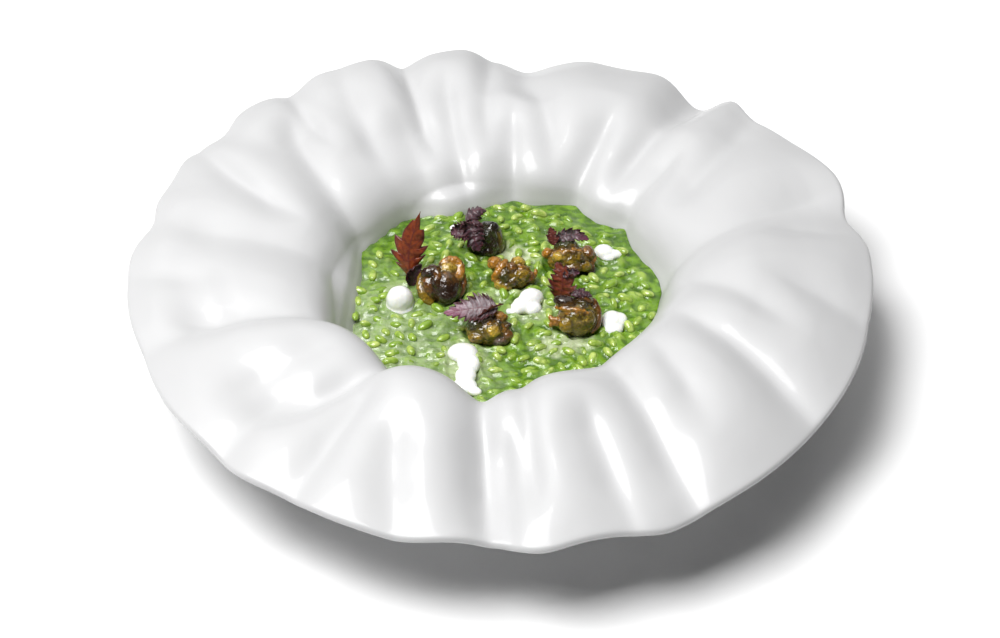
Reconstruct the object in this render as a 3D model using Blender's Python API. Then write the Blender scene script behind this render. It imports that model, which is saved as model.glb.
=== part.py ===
"""Green risotto with snails, cream and purple leaves in a white porcelain plate with a pleated rim.

The plate is a turned profile that is steep on the near side and open on the far side. Radial
folds push its wall and rim up and down. The risotto fills the well as one solid whose top is
covered with bumps the size of rice grains, with a shallow seat under everything that lies on it.
Sizes are in millimetres and are turned into metres by MM. +X is right, +Y is away, +Z is up.
The origin is under the middle of the plate's box, and the well's axis is WELL_PLACE from it,
because the rim reaches further to the left and to the front. The numbers below are measured
from the well's axis.
"""
import math
import random

import bmesh
import bpy
import numpy as np
from mathutils import Vector
from mathutils.bvhtree import BVHTree
from mathutils.geometry import delaunay_2d_cdt

MM = 0.001
GAP = 0.3             # clearance between pieces that touch
SEED = 7
WELL_PLACE = (1.6, 3.4)

# ---- plate ----
SEGMENTS = 120        # steps round the plate
RIM_RADIUS = 155.0    # mean radius of the rim
RIM_HEIGHT = 39.2     # mean height of the rim
WALL = 4.5            # thickness of the porcelain
LIP = 3.8             # thickness at the rim's edge
LIP_TUCK = 0.8        # how far the lip's lower edge sits inside its upper edge
FOOT_OUTER = 52.0
FOOT_INNER = 46.0
FOOT_RECESS = 2.5     # height of the recess inside the foot ring
RECESS_SLOPE = 2.5    # width of the slope up to the recess

# radius and height along the inside, from the middle of the well to the rim
NEAR_PROFILE = ((0, 8), (30, 8), (48, 8.2), (58, 10.5), (63.5, 16), (66, 24), (67.5, 32), (70, 40),
                (74.5, 47.5), (81, 52.5), (90, 55), (104, 54), (120, 50.5), (138, 45.5), (155, 39))
FAR_PROFILE = ((0, 8), (30, 8), (48, 8.2), (58, 10.5), (63, 15.5), (65.5, 22), (68.5, 28),
               (73.5, 33), (81, 37.5), (91, 41), (104, 43.5), (118, 44.8), (132, 44.5),
               (144, 42.8), (155, 39.8))
WALL_ROW = 4          # profile point at the foot of the well's wall
RIM_REACH = (70.0, 155.0)      # radii between which the rim line's radius comes in
RIM_RISE = (105.0, 155.0)      # radii between which the rim line's height comes in
UNDER_ROWS = (14, 12, 10, 8, 6, 5)

# angle in degrees, radius and height of the rim where it turns in or out
RIM_LINE = ((0, 151, 39), (6, 152, 39), (12, 146, 36.5), (16, 151, 39), (20, 153.5, 41),
            (24, 152, 41), (28, 149.5, 41), (32, 148, 39.5), (36, 148, 38.5), (43, 149.5, 38),
            (46, 150.5, 37.5), (48, 155.5, 39), (51.5, 147, 30.5), (55, 145, 32),
            (57.5, 147, 35), (61, 148, 38), (65, 145.5, 36.5), (70, 145, 35.5), (75, 146.5, 36),
            (78, 144.5, 34.5), (81, 143.5, 33), (83.5, 141.5, 31), (86, 141, 30),
            (88.5, 143.5, 32.5), (91, 146.5, 35), (93.5, 147, 36.5), (96, 150, 39.5),
            (99, 148, 38), (102, 149, 38), (104.5, 148, 36.5), (107.5, 147.5, 34),
            (109.5, 148, 37), (112, 149.5, 41.5), (116, 149.5, 41.5), (120, 151, 42.5),
            (122.5, 151, 41), (125, 152.5, 40.5), (128, 148, 36.5), (131, 150, 40.5),
            (134, 151.5, 40), (138, 153.5, 39), (141.5, 152, 38.5), (145, 147.5, 36.5),
            (148.5, 153, 38), (152, 156, 38.5), (156.5, 152.5, 38.5), (161, 151, 38.5),
            (165.5, 152, 39), (170, 147.5, 38.5), (175, 153, 39), (180, 155, 39),
            (190, 154, 38.5), (200, 152.5, 39), (212, 154, 39), (222, 153, 39.5),
            (228, 155, 38.5), (237, 153, 40), (244, 154, 39), (256, 154, 38), (264, 151.5, 40.5),
            (269, 151, 40), (274, 156, 36.5), (281, 153, 39), (287, 153, 39.5), (292, 157, 37),
            (298, 155, 38.5), (308, 154, 39), (320, 152, 38.5), (334, 151.5, 39),
            (348, 150.5, 39))
# angle in degrees, and how far the wall of the well stands out or in there
WELL_LINE = ((0, 0), (30, 0), (40, 1.8), (50, 0.5), (57, 0.8), (64, 3.0), (72, 2.0), (84, 0),
             (92, -1.5), (98, -3.0), (108, -5.5), (114, -4.6), (121, -1.0), (128, 3.0),
             (136, 3.2), (144, 1.8), (152, 0), (162, -2.4), (175, -3.8), (186, -3.0),
             (195, -1.5), (206, 0))
WELL_IN = (50.0, 60.0)         # radii between which the well line comes in
WELL_OUT = (76.0, 104.0)       # radii between which it goes out again
LINE_STEP = 0.5       # degrees between the points that smooth a line round the plate
LINE_WINDOW = 9.0     # degrees over which such a line is smoothed

# each fold: inner radius, its angle, outer radius, its angle, depth,
# width towards larger angles, width towards smaller angles
FOLDS = ((64, 8, 150, 19, 7.0, 24, 11), (84, 31, 156, 43, 5.5, 15, 11),
         (62, 43, 104, 44, 6.0, 13, 7), (76, 53, 170, 51.5, 7.5, 13, 8),
         (62, 64, 108, 64, 5.5, 13, 7), (82, 76, 124, 84, 5.0, 12, 9),
         (62, 87, 102, 88, 5.5, 12, 7), (112, 86, 170, 86, 3.5, 14, 14),
         (90, 95, 156, 92, 4.5, 10, 7), (62, 105, 128, 102, 6.0, 13, 7),
         (88, 111, 170, 107.5, 5.5, 8, 6), (62, 119, 106, 116, 5.0, 18, 12),
         (88, 127, 156, 119, 4.5, 13, 9), (112, 134, 170, 128.5, 4.0, 8, 6),
         (62, 152, 132, 136, 7.0, 17, 10), (96, 161, 170, 147, 5.5, 13, 7),
         (62, 177, 132, 172, 6.0, 22, 16), (122, 186, 170, 181, 3.5, 12, 11),
         (62, 207, 132, 196, 8.5, 9, 19), (122, 198, 170, 202, 4.0, 11, 13),
         (84, 219, 132, 217, 4.0, 11, 14), (116, 223, 170, 227, 4.5, 8, 15),
         (62, 238, 126, 227, 9.0, 7, 16), (94, 238, 170, 239, 5.5, 8, 15),
         (104, 247, 162, 256, 5.0, 12, 13), (62, 263, 156, 268, 11.0, 9, 12),
         (106, 270, 170, 271, 5.5, 6, 12), (68, 275, 134, 275, 4.5, 6, 9),
         (98, 288, 170, 288, 5.5, 8, 15), (72, 302, 162, 297, 7.5, 9, 15),
         (80, 316, 120, 309, 5.0, 9, 13), (80, 332, 170, 320, 6.5, 9, 14),
         (76, 350, 118, 340, 4.5, 12, 14), (112, 352, 170, 342, 3.0, 13, 13),
         (112, 8, 168, 6, 3.0, 11, 11))
FOLD_OPEN = (64, 160)  # a fold that passes these radii runs on without fading
FOLD_FADE = 26.0      # length over which a fold begins or ends
FOLD_OVERRUN = 0.15   # how far a fold's line runs on past its ends, as a share of its length
FOLD_ROUND = 0.25     # roundness of a fold's bottom
FOLD_FALL = 1.35      # how fast a fold's side rises
FOLD_RADII = (55.0, 200.0)     # a fold's width is measured within these radii
FOLD_WELL = (60.0, 68.0)       # radii between which the folds come in
FOLD_CALM = (128.0, 154.0)     # radii between which the folds grow shallower
CALM_SHARE = 0.45     # how much shallower they are at the rim
RIDGE_LIFT = 3.5      # height of the ridges between folds
UNDER_FOLD = 0.8      # share of the folds that shows on the underside of the wall

# ---- risotto ----
FOOD_EDGE = 19.3      # height of the risotto where it meets the wall
FOOD_CROWN = 1.4      # extra height in the middle
FOOD_RADIUS = 64.0
SIDE_GAP = 0.45       # clearance to the plate, whose faces are flat between their corners
GRAIN_LENGTH = 6.4
GRAIN_WIDTH = 2.9
GRAIN_HEIGHT = 1.2    # how far a grain stands out of the sauce
GRAIN_COUNT = 245
GRAIN_REACH = 0.34    # from a grain's middle to the ends of its middle line, as a share of its length
GRAIN_RIDGE = 0.24    # the same for the ridge on its top
GRAIN_SIZES = (0.82, 1.08)
GRAIN_TRIES = 60000
GRAIN_SPACING = 3.35  # between points on the middle lines of two grains
SEAT_SLOPE = 1.6      # width of the slope round a seat
SEAT_SIDES = 12

# name, middle (x, y), half sizes (x, y, z), turn in degrees, where the curl faces (x, y, z)
SNAILS = (("snail_1", (-7.4, 36.0), (8.6, 8.0, 8.5), 15, (0.5, -0.5, 0.7)),
          ("snail_2", (-26.3, 6.2), (10.4, 9.6, 9.2), -20, (0.1, -0.8, 0.6)),
          ("snail_3", (3.0, 13.2), (11.0, 7.6, 8.2), 8, (-0.4, -0.6, 0.6)),
          ("snail_4", (27.2, 22.8), (12.0, 8.2, 8.4), -4, (0.3, -0.5, 0.8)),
          ("snail_5", (29.4, -13.2), (10.4, 9.4, 9.4), -25, (0.4, -0.6, 0.7)),
          ("snail_6", (-6.4, -19.8), (11.4, 8.2, 8.0), -14, (0.2, -0.7, 0.7)))
SNAIL_SINK = 1.6      # depth of the seat under a snail
SNAIL_REST = 0.7      # share of the half height left below the middle
SNAIL_FILL = 0.95     # mean radius, as a share of the half sizes
SNAIL_RIDGE = 0.09    # height of the curled ridge, as a share of the radius
SNAIL_PITCH = 58.0    # degrees from one turn of the curl to the next
SNAIL_LUMPS = 0.05

# name, middle (x, y), half sizes (x, y, z), turn in degrees
CREAMS = (("cream_1", (-43.4, -0.6), (6.4, 6.3, 7.2), 0),
          ("cream_2", (9.4, -2.0), (7.4, 7.0, 4.8), 35),
          ("cream_3", (44.6, 31.2), (5.9, 4.8, 3.4), -20),
          ("cream_4", (45.8, -12.4), (5.0, 6.8, 3.8), 14),
          ("cream_5", (-16.8, -41.2), (7.2, 15.6, 3.9), 10),
          ("cream_6", (-21.0, 48.4), (3.0, 2.8, 1.8), 0))
CREAM_SINK = 1.0
CREAM_REST = 0.45
CREAM_FILL = 0.96
CREAM_LUMPS = 0.10
SEAT_SHARE = 0.86     # a seat's size as a share of the piece over it

# name, points of the middle line (x, y, z), direction across the leaf, half width, bend across
LEAVES = (("leaf_1", ((-38.9, 13.2, 20.8), (-38.9, 16.2, 34.0), (-35.9, 21.8, 49.6)),
           (1.0, -0.15, 0.0), 4.8, -0.9),
          ("leaf_2", ((-16.6, 33.0, 30.0), (-17.4, 40.6, 36.5), (-9.2, 46.1, 38.0)),
           (-0.8, 0.5, -0.25), 6.2, -0.3),
          ("leaf_3", ((17.6, 30.5, 33.0), (26.1, 27.8, 36.5), (35.1, 29.6, 33.5)),
           (0.1, 0.9, 0.3), 4.6, -0.7),
          ("leaf_4", ((23.8, 1.4, 21.0), (23.0, 5.2, 29.0), (24.2, 9.4, 36.5)),
           (1.0, -0.1, 0.1), 5.2, 1.0),
          ("leaf_5", ((-2.8, -16.2, 33.0), (-12.2, -16.6, 34.5), (-25.4, -17.4, 31.0)),
           (0.1, -1.0, -0.1), 5.8, -0.3),
          ("leaf_6", ((27.4, -9.9, 33.0), (31.0, -8.9, 34.0), (34.8, -11.1, 33.0)),
           (0.2, 0.9, 0.1), 2.7, 0.1))
LEAF_STEPS = 6        # along the leaf
LEAF_STRIPS = 4       # across the leaf
LEAF_THICKNESS = 0.6
LEAF_WAVE = 0.14      # height of the waves along a leaf's edge, as a share of its half width
LEAF_TOOTH = 0.16     # how far each other point of the edge stands out
LEAF_BLUNT = 0.20     # half width left at the two ends, as a share of the widest
LEAF_LIE = 0.7        # from the middle of a leaf's thickness to what it lies on
LEAF_ROUNDS = 8       # rounds of pushing a leaf off what it lies on
LEAF_SINK = 12.0      # share of a lying leaf, in per cent, that bends to what it lies on
LEAF_SEAT = 2.4       # radius of the seat under a standing leaf
STANDING = 3.0        # a leaf that starts no higher than this above the risotto's edge stands in it
ABOVE_ALL = 90.0      # height from which a leaf is let down

COLOURS = {"porcelain": ((0.78, 0.78, 0.77), 0.08), "risotto": ((0.20, 0.42, 0.06), 0.25),
           "snail": ((0.24, 0.12, 0.03), 0.20), "cream": ((0.88, 0.87, 0.82), 0.30),
           "leaf": ((0.16, 0.03, 0.05), 0.45)}


def smooth_step(value):
    """0 below 0, 1 above 1, and a smooth rise between."""
    value = np.clip(value, 0.0, 1.0)
    return value * value * (3.0 - 2.0 * value)


def ramp(value, ends):
    """A smooth rise from 0 to 1 between two ends."""
    return smooth_step((value - ends[0]) / (ends[1] - ends[0]))


def make_material(kind):
    colour, roughness = COLOURS[kind]
    material = bpy.data.materials.new(kind)
    material.use_nodes = True
    shader = material.node_tree.nodes["Principled BSDF"]
    shader.inputs["Base Color"].default_value = (*colour, 1.0)
    shader.inputs["Roughness"].default_value = roughness
    shader.inputs["Metallic"].default_value = 0.0
    return material


def make_object(name, points, faces, material, parent, place=(0.0, 0.0, 0.0)):
    """An object from points in millimetres, measured from its place."""
    mesh = bpy.data.meshes.new(name)
    mesh.from_pydata([Vector(point) * MM for point in points], [], faces)
    shape = bmesh.new()
    shape.from_mesh(mesh)
    bmesh.ops.recalc_face_normals(shape, faces=shape.faces[:])
    shape.to_mesh(mesh)
    shape.free()
    mesh.shade_smooth()
    mesh.materials.append(material)
    thing = bpy.data.objects.new(name, mesh)
    thing.location = Vector(place) * MM
    thing.parent = parent
    bpy.context.scene.collection.objects.link(thing)
    return thing


def ring_faces(first, second, count):
    """Quads between two rings of points that start at these indices."""
    return [(first + i, first + (i + 1) % count, second + (i + 1) % count, second + i)
            for i in range(count)]


def cap_faces(middle, ring, count):
    return [(middle, ring + i, ring + (i + 1) % count) for i in range(count)]


def line_round(table, column, angles):
    """One column of a table of angles, smoothed, at these angles in radians."""
    rows = np.array(table + ((360,) + table[0][1:],), float)
    steps = np.arange(0.0, 360.0, LINE_STEP)
    window = np.hanning(int(LINE_WINDOW / LINE_STEP) + 2)[1:-1]
    window /= window.sum()
    half = len(window) // 2
    line = np.interp(steps, rows[:, 0], rows[:, column])
    wrapped = np.concatenate([line[-half:], line, line[:half]])
    line = np.convolve(wrapped, window, mode="same")[half:-half]
    closed = np.append(line, line[0])
    return np.interp(np.degrees(angles) % 360.0, np.append(steps, 360.0), closed)


def fold_lift(radius, angles):
    """How far the folds push the surface along its normal."""
    lift = np.zeros_like(radius)
    for inner, inner_angle, outer, outer_angle, depth, wide_up, wide_down in FOLDS:
        along = np.clip((radius - inner) / (outer - inner), -FOLD_OVERRUN, 1.0 + FOLD_OVERRUN)
        middle = np.radians(inner_angle + (outer_angle - inner_angle) * along)
        turn = (angles - middle + math.pi) % (2.0 * math.pi) - math.pi
        across = turn * np.clip(radius, *FOLD_RADII) / np.where(turn > 0.0, wide_up, wide_down)
        shape = np.exp((FOLD_ROUND ** 0.5 - np.sqrt(across ** 2 + FOLD_ROUND)) * FOLD_FALL)
        if inner > FOLD_OPEN[0]:
            shape = shape * smooth_step((radius - inner) / FOLD_FADE + 0.5)
        if outer < FOLD_OPEN[1]:
            shape = shape * smooth_step((outer - radius) / FOLD_FADE + 0.5)
        lift -= depth * shape
    lift *= 1.0 - CALM_SHARE * ramp(radius, FOLD_CALM)
    return (lift + RIDGE_LIFT) * ramp(radius, FOLD_WELL)


def plate_surface(angles, share, drop):
    """Rows of radius and height: the inside for share 1 and drop 0, or a surface below it.

    share and drop hold one value for each profile point: the share of the folds that is kept,
    and the distance below the inside, along the profile's normal.
    """
    nearness = smooth_step(0.5 - 0.5 * np.sin(angles))
    near = np.array(NEAR_PROFILE, float)[:, :, None]
    far = np.array(FAR_PROFILE, float)[:, :, None]
    radius, height = np.moveaxis(near * nearness + far * (1.0 - nearness), 1, 0)
    well = ramp(radius, WELL_IN) * (1.0 - ramp(radius, WELL_OUT))
    radius = radius + line_round(WELL_LINE, 1, angles) * well
    radius = radius + (line_round(RIM_LINE, 1, angles) - RIM_RADIUS) * ramp(radius, RIM_REACH)
    height = height + (line_round(RIM_LINE, 2, angles) - RIM_HEIGHT) * ramp(radius, RIM_RISE)
    slope_r = np.gradient(radius, axis=0)
    slope_z = np.gradient(height, axis=0)
    length = np.hypot(slope_r, slope_z)
    lift = fold_lift(radius, angles[None, :]) * share[:, None] - drop[:, None]
    return radius - lift * slope_z / length, height + lift * slope_r / length


def plate_inside():
    """Radius and height of the inside at each profile point and each step round the plate."""
    angles = np.arange(SEGMENTS) * 2.0 * math.pi / SEGMENTS
    rows = len(NEAR_PROFILE)
    return angles, *plate_surface(angles, np.ones(rows), np.zeros(rows))


def ring_points(radius, height, angles):
    radius = np.broadcast_to(radius, angles.shape)
    height = np.broadcast_to(height, angles.shape)
    return np.stack([radius * np.cos(angles), radius * np.sin(angles), height], axis=1).tolist()


def make_plate(material, parent):
    """The porcelain plate: inside, lip, underside and foot ring, closed at both middles."""
    angles, radius, height = plate_inside()
    rows = len(NEAR_PROFILE)
    share = np.full(rows, UNDER_FOLD)
    share[-3:] = 1.0
    drop = np.full(rows, WALL)
    drop[-1] = LIP
    under_radius, under_height = plate_surface(angles, share, drop)
    under_radius[-1] = radius[-1] - LIP_TUCK
    under_height[-1] = height[-1] - LIP
    rings = [ring_points(radius[i], height[i], angles) for i in range(1, rows)]
    rings += [ring_points(under_radius[i], under_height[i], angles) for i in UNDER_ROWS]
    rings.append(ring_points(FOOT_OUTER, 0.0, angles))
    rings.append(ring_points(FOOT_INNER, 0.0, angles))
    rings.append(ring_points(FOOT_INNER - RECESS_SLOPE, FOOT_RECESS, angles))
    points = [point for ring in rings for point in ring]
    faces = []
    for i in range(len(rings) - 1):
        faces += ring_faces(i * SEGMENTS, (i + 1) * SEGMENTS, SEGMENTS)
    points.append((0.0, 0.0, NEAR_PROFILE[0][1]))
    faces += cap_faces(len(points) - 1, 0, SEGMENTS)
    points.append((0.0, 0.0, FOOT_RECESS))
    faces += cap_faces(len(points) - 1, (len(rings) - 1) * SEGMENTS, SEGMENTS)
    plate = make_object("plate", points, faces, material, parent)
    plate.data.set_sharp_from_angle(angle=math.radians(60.0))
    return plate


def food_height(x, y):
    """Height of the sauce between the grains, slightly crowned and wavy."""
    share = math.hypot(x, y) / FOOD_RADIUS
    waves = 0.45 * math.sin(0.11 * x + 1.3) * math.cos(0.09 * y + 0.4)
    waves += 0.30 * math.sin(0.19 * y - 0.13 * x)
    return FOOD_EDGE + FOOD_CROWN * (1.0 - share ** 2) + waves * (1.0 - share ** 4)


def ellipse_points(middle, half_x, half_y, turn, count):
    """Points round an ellipse whose long side is turned by this many degrees."""
    cos_turn, sin_turn = math.cos(math.radians(turn)), math.sin(math.radians(turn))
    points = []
    for i in range(count):
        angle = 2.0 * math.pi * i / count
        x, y = half_x * math.cos(angle), half_y * math.sin(angle)
        points.append((middle[0] + x * cos_turn - y * sin_turn,
                       middle[1] + x * sin_turn + y * cos_turn))
    return points


def inside_ellipse(x, y, middle, half_x, half_y, turn):
    cos_turn, sin_turn = math.cos(math.radians(turn)), math.sin(math.radians(turn))
    off_x, off_y = x - middle[0], y - middle[1]
    along = (off_x * cos_turn + off_y * sin_turn) / half_x
    across = (off_y * cos_turn - off_x * sin_turn) / half_y
    return along ** 2 + across ** 2 < 1.0


def topping_seats():
    """For each piece that lies in the sauce: its middle, half sizes, turn and seat height."""
    seats = {}
    for name, middle, half, turn, _ in SNAILS:
        seats[name] = (middle, half[0], half[1], turn, food_height(*middle) - SNAIL_SINK)
    for name, middle, half, turn in CREAMS:
        seats[name] = (middle, half[0], half[1], turn, food_height(*middle) - CREAM_SINK)
    for name, line, _, _, _ in LEAVES:
        if line[0][2] < FOOD_EDGE + STANDING:
            middle = line[0][:2]
            seats[name] = (middle, LEAF_SEAT, LEAF_SEAT, 0.0, food_height(*middle) - CREAM_SINK)
    return seats


def brim_size(half):
    """Half size of a seat's brim for a piece of this half size."""
    return half * SEAT_SHARE + SEAT_SLOPE


def scatter_grains(seats, edge_radius):
    """Places and turns of the grains, evenly spread and clear of the seats and the edge."""
    draw = random.Random(SEED)
    reach = (-GRAIN_REACH * GRAIN_LENGTH, 0.0, GRAIN_REACH * GRAIN_LENGTH)
    grains, taken = [], []
    for _ in range(GRAIN_TRIES):
        x = draw.uniform(-FOOD_RADIUS, FOOD_RADIUS)
        y = draw.uniform(-FOOD_RADIUS, FOOD_RADIUS)
        turn = draw.uniform(0.0, math.pi)
        size = draw.uniform(*GRAIN_SIZES)
        line = [(x + step * math.cos(turn), y + step * math.sin(turn)) for step in reach]
        clear = GRAIN_WIDTH / 2.0 + 0.5
        if any(math.hypot(*point) > edge_radius(*point) - clear - 1.0 for point in line):
            continue
        if any(inside_ellipse(*point, middle, max(half_x, brim_size(half_x)) + clear,
                              max(half_y, brim_size(half_y)) + clear, angle)
               for point in line for middle, half_x, half_y, angle, _ in seats.values()):
            continue
        if any(math.dist(point, other) < GRAIN_SPACING for point in line for other in taken):
            continue
        taken += line
        grains.append((x, y, turn, size))
        if len(grains) == GRAIN_COUNT:
            break
    return grains


def make_risotto(seats, material, parent):
    """The risotto: sides fitted to the well, a top with grains, and seats for the toppings."""
    angles, radius, height = plate_inside()
    slope_r = np.gradient(radius, axis=0)
    slope_z = np.gradient(height, axis=0)
    length = np.hypot(slope_r, slope_z)
    radius = radius - SIDE_GAP * slope_z / length
    height = height + SIDE_GAP * slope_r / length
    low, high = WALL_ROW, WALL_ROW + 1
    rise = (FOOD_EDGE - height[low]) / (height[high] - height[low])
    edge = radius[low] + (radius[high] - radius[low]) * rise

    def edge_radius(x, y):
        return np.interp(math.atan2(y, x) % (2.0 * math.pi), np.append(angles, 2.0 * math.pi),
                         np.append(edge, edge[0]))

    flat = [Vector(point[:2]) for point in ring_points(edge, FOOD_EDGE, angles)]
    levels = [FOOD_EDGE] * SEGMENTS
    borders = [(i, (i + 1) % SEGMENTS) for i in range(SEGMENTS)]

    def add_loop(points, heights, closed=True):
        first = len(flat)
        flat.extend(Vector(point) for point in points)
        levels.extend(heights)
        count = len(points)
        links = count if closed else count - 1
        borders.extend((first + i, first + (i + 1) % count) for i in range(links))

    for middle, half_x, half_y, turn, level in seats.values():
        floor_x, floor_y = half_x * SEAT_SHARE, half_y * SEAT_SHARE
        add_loop(ellipse_points(middle, floor_x, floor_y, turn, SEAT_SIDES), [level] * SEAT_SIDES)
        brim = ellipse_points(middle, brim_size(half_x), brim_size(half_y), turn, SEAT_SIDES)
        add_loop(brim, [food_height(*point) for point in brim])
    for x, y, turn, size in scatter_grains(seats, edge_radius):
        base = ellipse_points((x, y), size * GRAIN_LENGTH / 2.0, size * GRAIN_WIDTH / 2.0,
                              math.degrees(turn), 6)
        add_loop(base, [food_height(*point) for point in base])
        step = GRAIN_RIDGE * size * GRAIN_LENGTH
        ridge = [(x + side * step * math.cos(turn), y + side * step * math.sin(turn))
                 for side in (-1, 1)]
        add_loop(ridge, [food_height(*point) + GRAIN_HEIGHT for point in ridge], closed=False)
    found = delaunay_2d_cdt(flat, borders, [], 1, 1e-6)
    count = len(found[0])
    points = [(found[0][i][0], found[0][i][1], levels[found[3][i][0]]) for i in range(count)]
    faces = [tuple(face) for face in found[2]]
    outline = {found[3][i][0]: i for i in range(count) if found[3][i][0] < SEGMENTS}

    rows = [ring_points(radius[i], height[i], angles) for i in (WALL_ROW, WALL_ROW - 1, WALL_ROW - 2)]
    first = len(points)
    points += [point for row in rows for point in row]
    for i in range(SEGMENTS):
        after = (i + 1) % SEGMENTS
        faces.append((outline[i], outline[after], first + after, first + i))
    for i in range(len(rows) - 1):
        faces += ring_faces(first + i * SEGMENTS, first + (i + 1) * SEGMENTS, SEGMENTS)
    points.append((0.0, 0.0, height[WALL_ROW - 2].min()))
    faces += cap_faces(len(points) - 1, first + (len(rows) - 1) * SEGMENTS, SEGMENTS)
    return make_object("risotto", points, faces, material, parent)


def rounded_body(name, half, rest, shape, sides, rings, material, parent, place, turn):
    """A ball stretched to these half sizes, shaped by a function and cut flat where it rests."""
    ball = bmesh.new()
    bmesh.ops.create_uvsphere(ball, u_segments=sides, v_segments=rings, radius=1.0)
    for vertex in ball.verts:
        way = vertex.co.normalized()
        size = shape(way)
        point = [way[axis] * half[axis] * size for axis in range(3)]
        point[2] = max(point[2] + rest * half[2], 0.0)
        vertex.co = Vector(point) * MM
    mesh = bpy.data.meshes.new(name)
    ball.to_mesh(mesh)
    ball.free()
    mesh.shade_smooth()
    mesh.materials.append(material)
    body = bpy.data.objects.new(name, mesh)
    body.location = Vector(place) * MM
    body.rotation_euler = (0.0, 0.0, math.radians(turn))
    body.parent = parent
    bpy.context.scene.collection.objects.link(body)
    return body


def make_snail(row, seat_height, material, parent):
    """A cooked snail: a lumpy ball with a ridge curling in to the point it faces with."""
    name, middle, half, turn, facing = row
    pole = Vector(facing).normalized()
    across = pole.orthogonal().normalized()
    third = pole.cross(across)
    draw = random.Random(name)
    waves = [(draw.uniform(-3, 3), draw.uniform(-3, 3), draw.uniform(-3, 3), draw.uniform(0, 6))
             for _ in range(4)]

    def shape(way):
        tilt = math.degrees(pole.angle(way, 0.0))
        round_angle = math.atan2(way.dot(third), way.dot(across))
        ridge = math.cos(round_angle - 2.0 * math.pi * tilt / SNAIL_PITCH)
        fade = float(smooth_step(2.2 - tilt / 60.0)) * float(smooth_step(tilt / 25.0))
        lumps = sum(math.sin(a * way.x + b * way.y + c * way.z + d) for a, b, c, d in waves) / 4.0
        return SNAIL_FILL + SNAIL_RIDGE * ridge * fade + SNAIL_LUMPS * lumps

    place = (*middle, seat_height + GAP)
    return rounded_body(name, half, SNAIL_REST, shape, 16, 11, material, parent, place, turn)


def make_cream(row, seat_height, material, parent):
    """A spoonful of cream: a soft, slightly uneven mound."""
    name, middle, half, turn = row
    draw = random.Random(name)
    phase = draw.uniform(0.0, 6.0)
    twist = draw.uniform(0.0, 6.0)

    def shape(way):
        angle = math.atan2(way.y, way.x)
        level = 1.0 - abs(way.z)
        wobble = math.sin(2.0 * angle + phase) + 0.7 * math.sin(3.0 * angle + twist)
        return CREAM_FILL + 0.5 * CREAM_LUMPS * level * wobble

    place = (*middle, seat_height + GAP)
    return rounded_body(name, half, CREAM_REST, shape, 12, 7, material, parent, place, turn)


def settle(points, below, sink):
    """Let a leaf's points down until this share of them, in per cent, would be sunk."""
    well = Vector((*WELL_PLACE, 0.0))
    down = Vector((0.0, 0.0, -1.0))
    room = []
    for point in points:
        hit = below.ray_cast((Vector((point.x, point.y, ABOVE_ALL)) + well) * MM, down)[0]
        room.append(point.z - hit.z / MM - LEAF_LIE)
    drop = float(np.percentile(room, sink))
    for point, space in zip(points, room):
        point.z -= drop + min(space - drop, 0.0)


def lift_clear(points, faces, below):
    """Push a leaf's faces off what is below until corners, edges and middles all clear it."""
    well = Vector((*WELL_PLACE, 0.0))
    shares = ((1, 0, 0), (0, 1, 0), (0, 0, 1), (1, 1, 0), (0, 1, 1), (1, 0, 1), (1, 1, 1))
    for _ in range(LEAF_ROUNDS):
        for face in faces:
            corners = [points[index] for index in face]
            for share in shares:
                middle = sum((c * s for c, s in zip(corners, share)), Vector()) / sum(share)
                spot, normal, _, _ = below.find_nearest((middle + well) * MM)
                short = LEAF_LIE - (middle + well - spot / MM).dot(normal)
                if short > 0.0:
                    for corner, part in zip(corners, share):
                        corner += normal * short * part


def make_leaf(row, below, material, parent):
    """A leaf: a wavy sheet with a toothed edge, laid over what is below it, then thickened."""
    name, line, sideways, half_width, bend = row
    start, middle, end = (Vector(point) for point in line)
    across = Vector(sideways).normalized()
    points = []
    for i in range(LEAF_STEPS + 1):
        s = i / LEAF_STEPS
        spine = start * (1.0 - s) ** 2 + middle * 2.0 * s * (1.0 - s) + end * s ** 2
        swell = math.sin(math.pi * min(s ** 0.8, 1.0)) ** 0.8 + LEAF_BLUNT
        for j in range(LEAF_STRIPS + 1):
            t = 2.0 * j / LEAF_STRIPS - 1.0
            tooth = 1.0 + (LEAF_TOOTH if i % 2 else -LEAF_TOOTH) * abs(t) ** 2
            along = (end - start).normalized()
            up = across.cross(along).normalized()
            wave = LEAF_WAVE * half_width * swell * math.sin(2.2 * i + 1.4 * j) * abs(t)
            lift = bend * half_width * 0.5 * t * t * swell + wave
            point = spine + across * (t * half_width * swell * tooth) + up * lift
            points.append(point)
    faces = []
    width = LEAF_STRIPS + 1
    for i in range(LEAF_STEPS):
        for j in range(LEAF_STRIPS):
            corner = i * width + j
            faces.append((corner, corner + 1, corner + width + 1))
            faces.append((corner, corner + width + 1, corner + width))
    settle(points, below, 0.0 if start.z < FOOD_EDGE + STANDING else LEAF_SINK)
    lift_clear(points, faces, below)
    origin = points[LEAF_STRIPS // 2].copy()
    leaf = make_object(name, [point - origin for point in points], faces, material, parent, origin)
    solid = leaf.modifiers.new("thickness", "SOLIDIFY")
    solid.thickness = LEAF_THICKNESS * MM
    solid.offset = 0.0
    return leaf


def surface_below(objects):
    """One search tree over the world-space faces of these objects."""
    bpy.context.view_layer.update()
    corners, faces = [], []
    for thing in objects:
        first = len(corners)
        corners += [thing.matrix_world @ vertex.co for vertex in thing.data.vertices]
        faces += [tuple(first + index for index in face.vertices) for face in thing.data.polygons]
    return BVHTree.FromPolygons(corners, faces)


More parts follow.
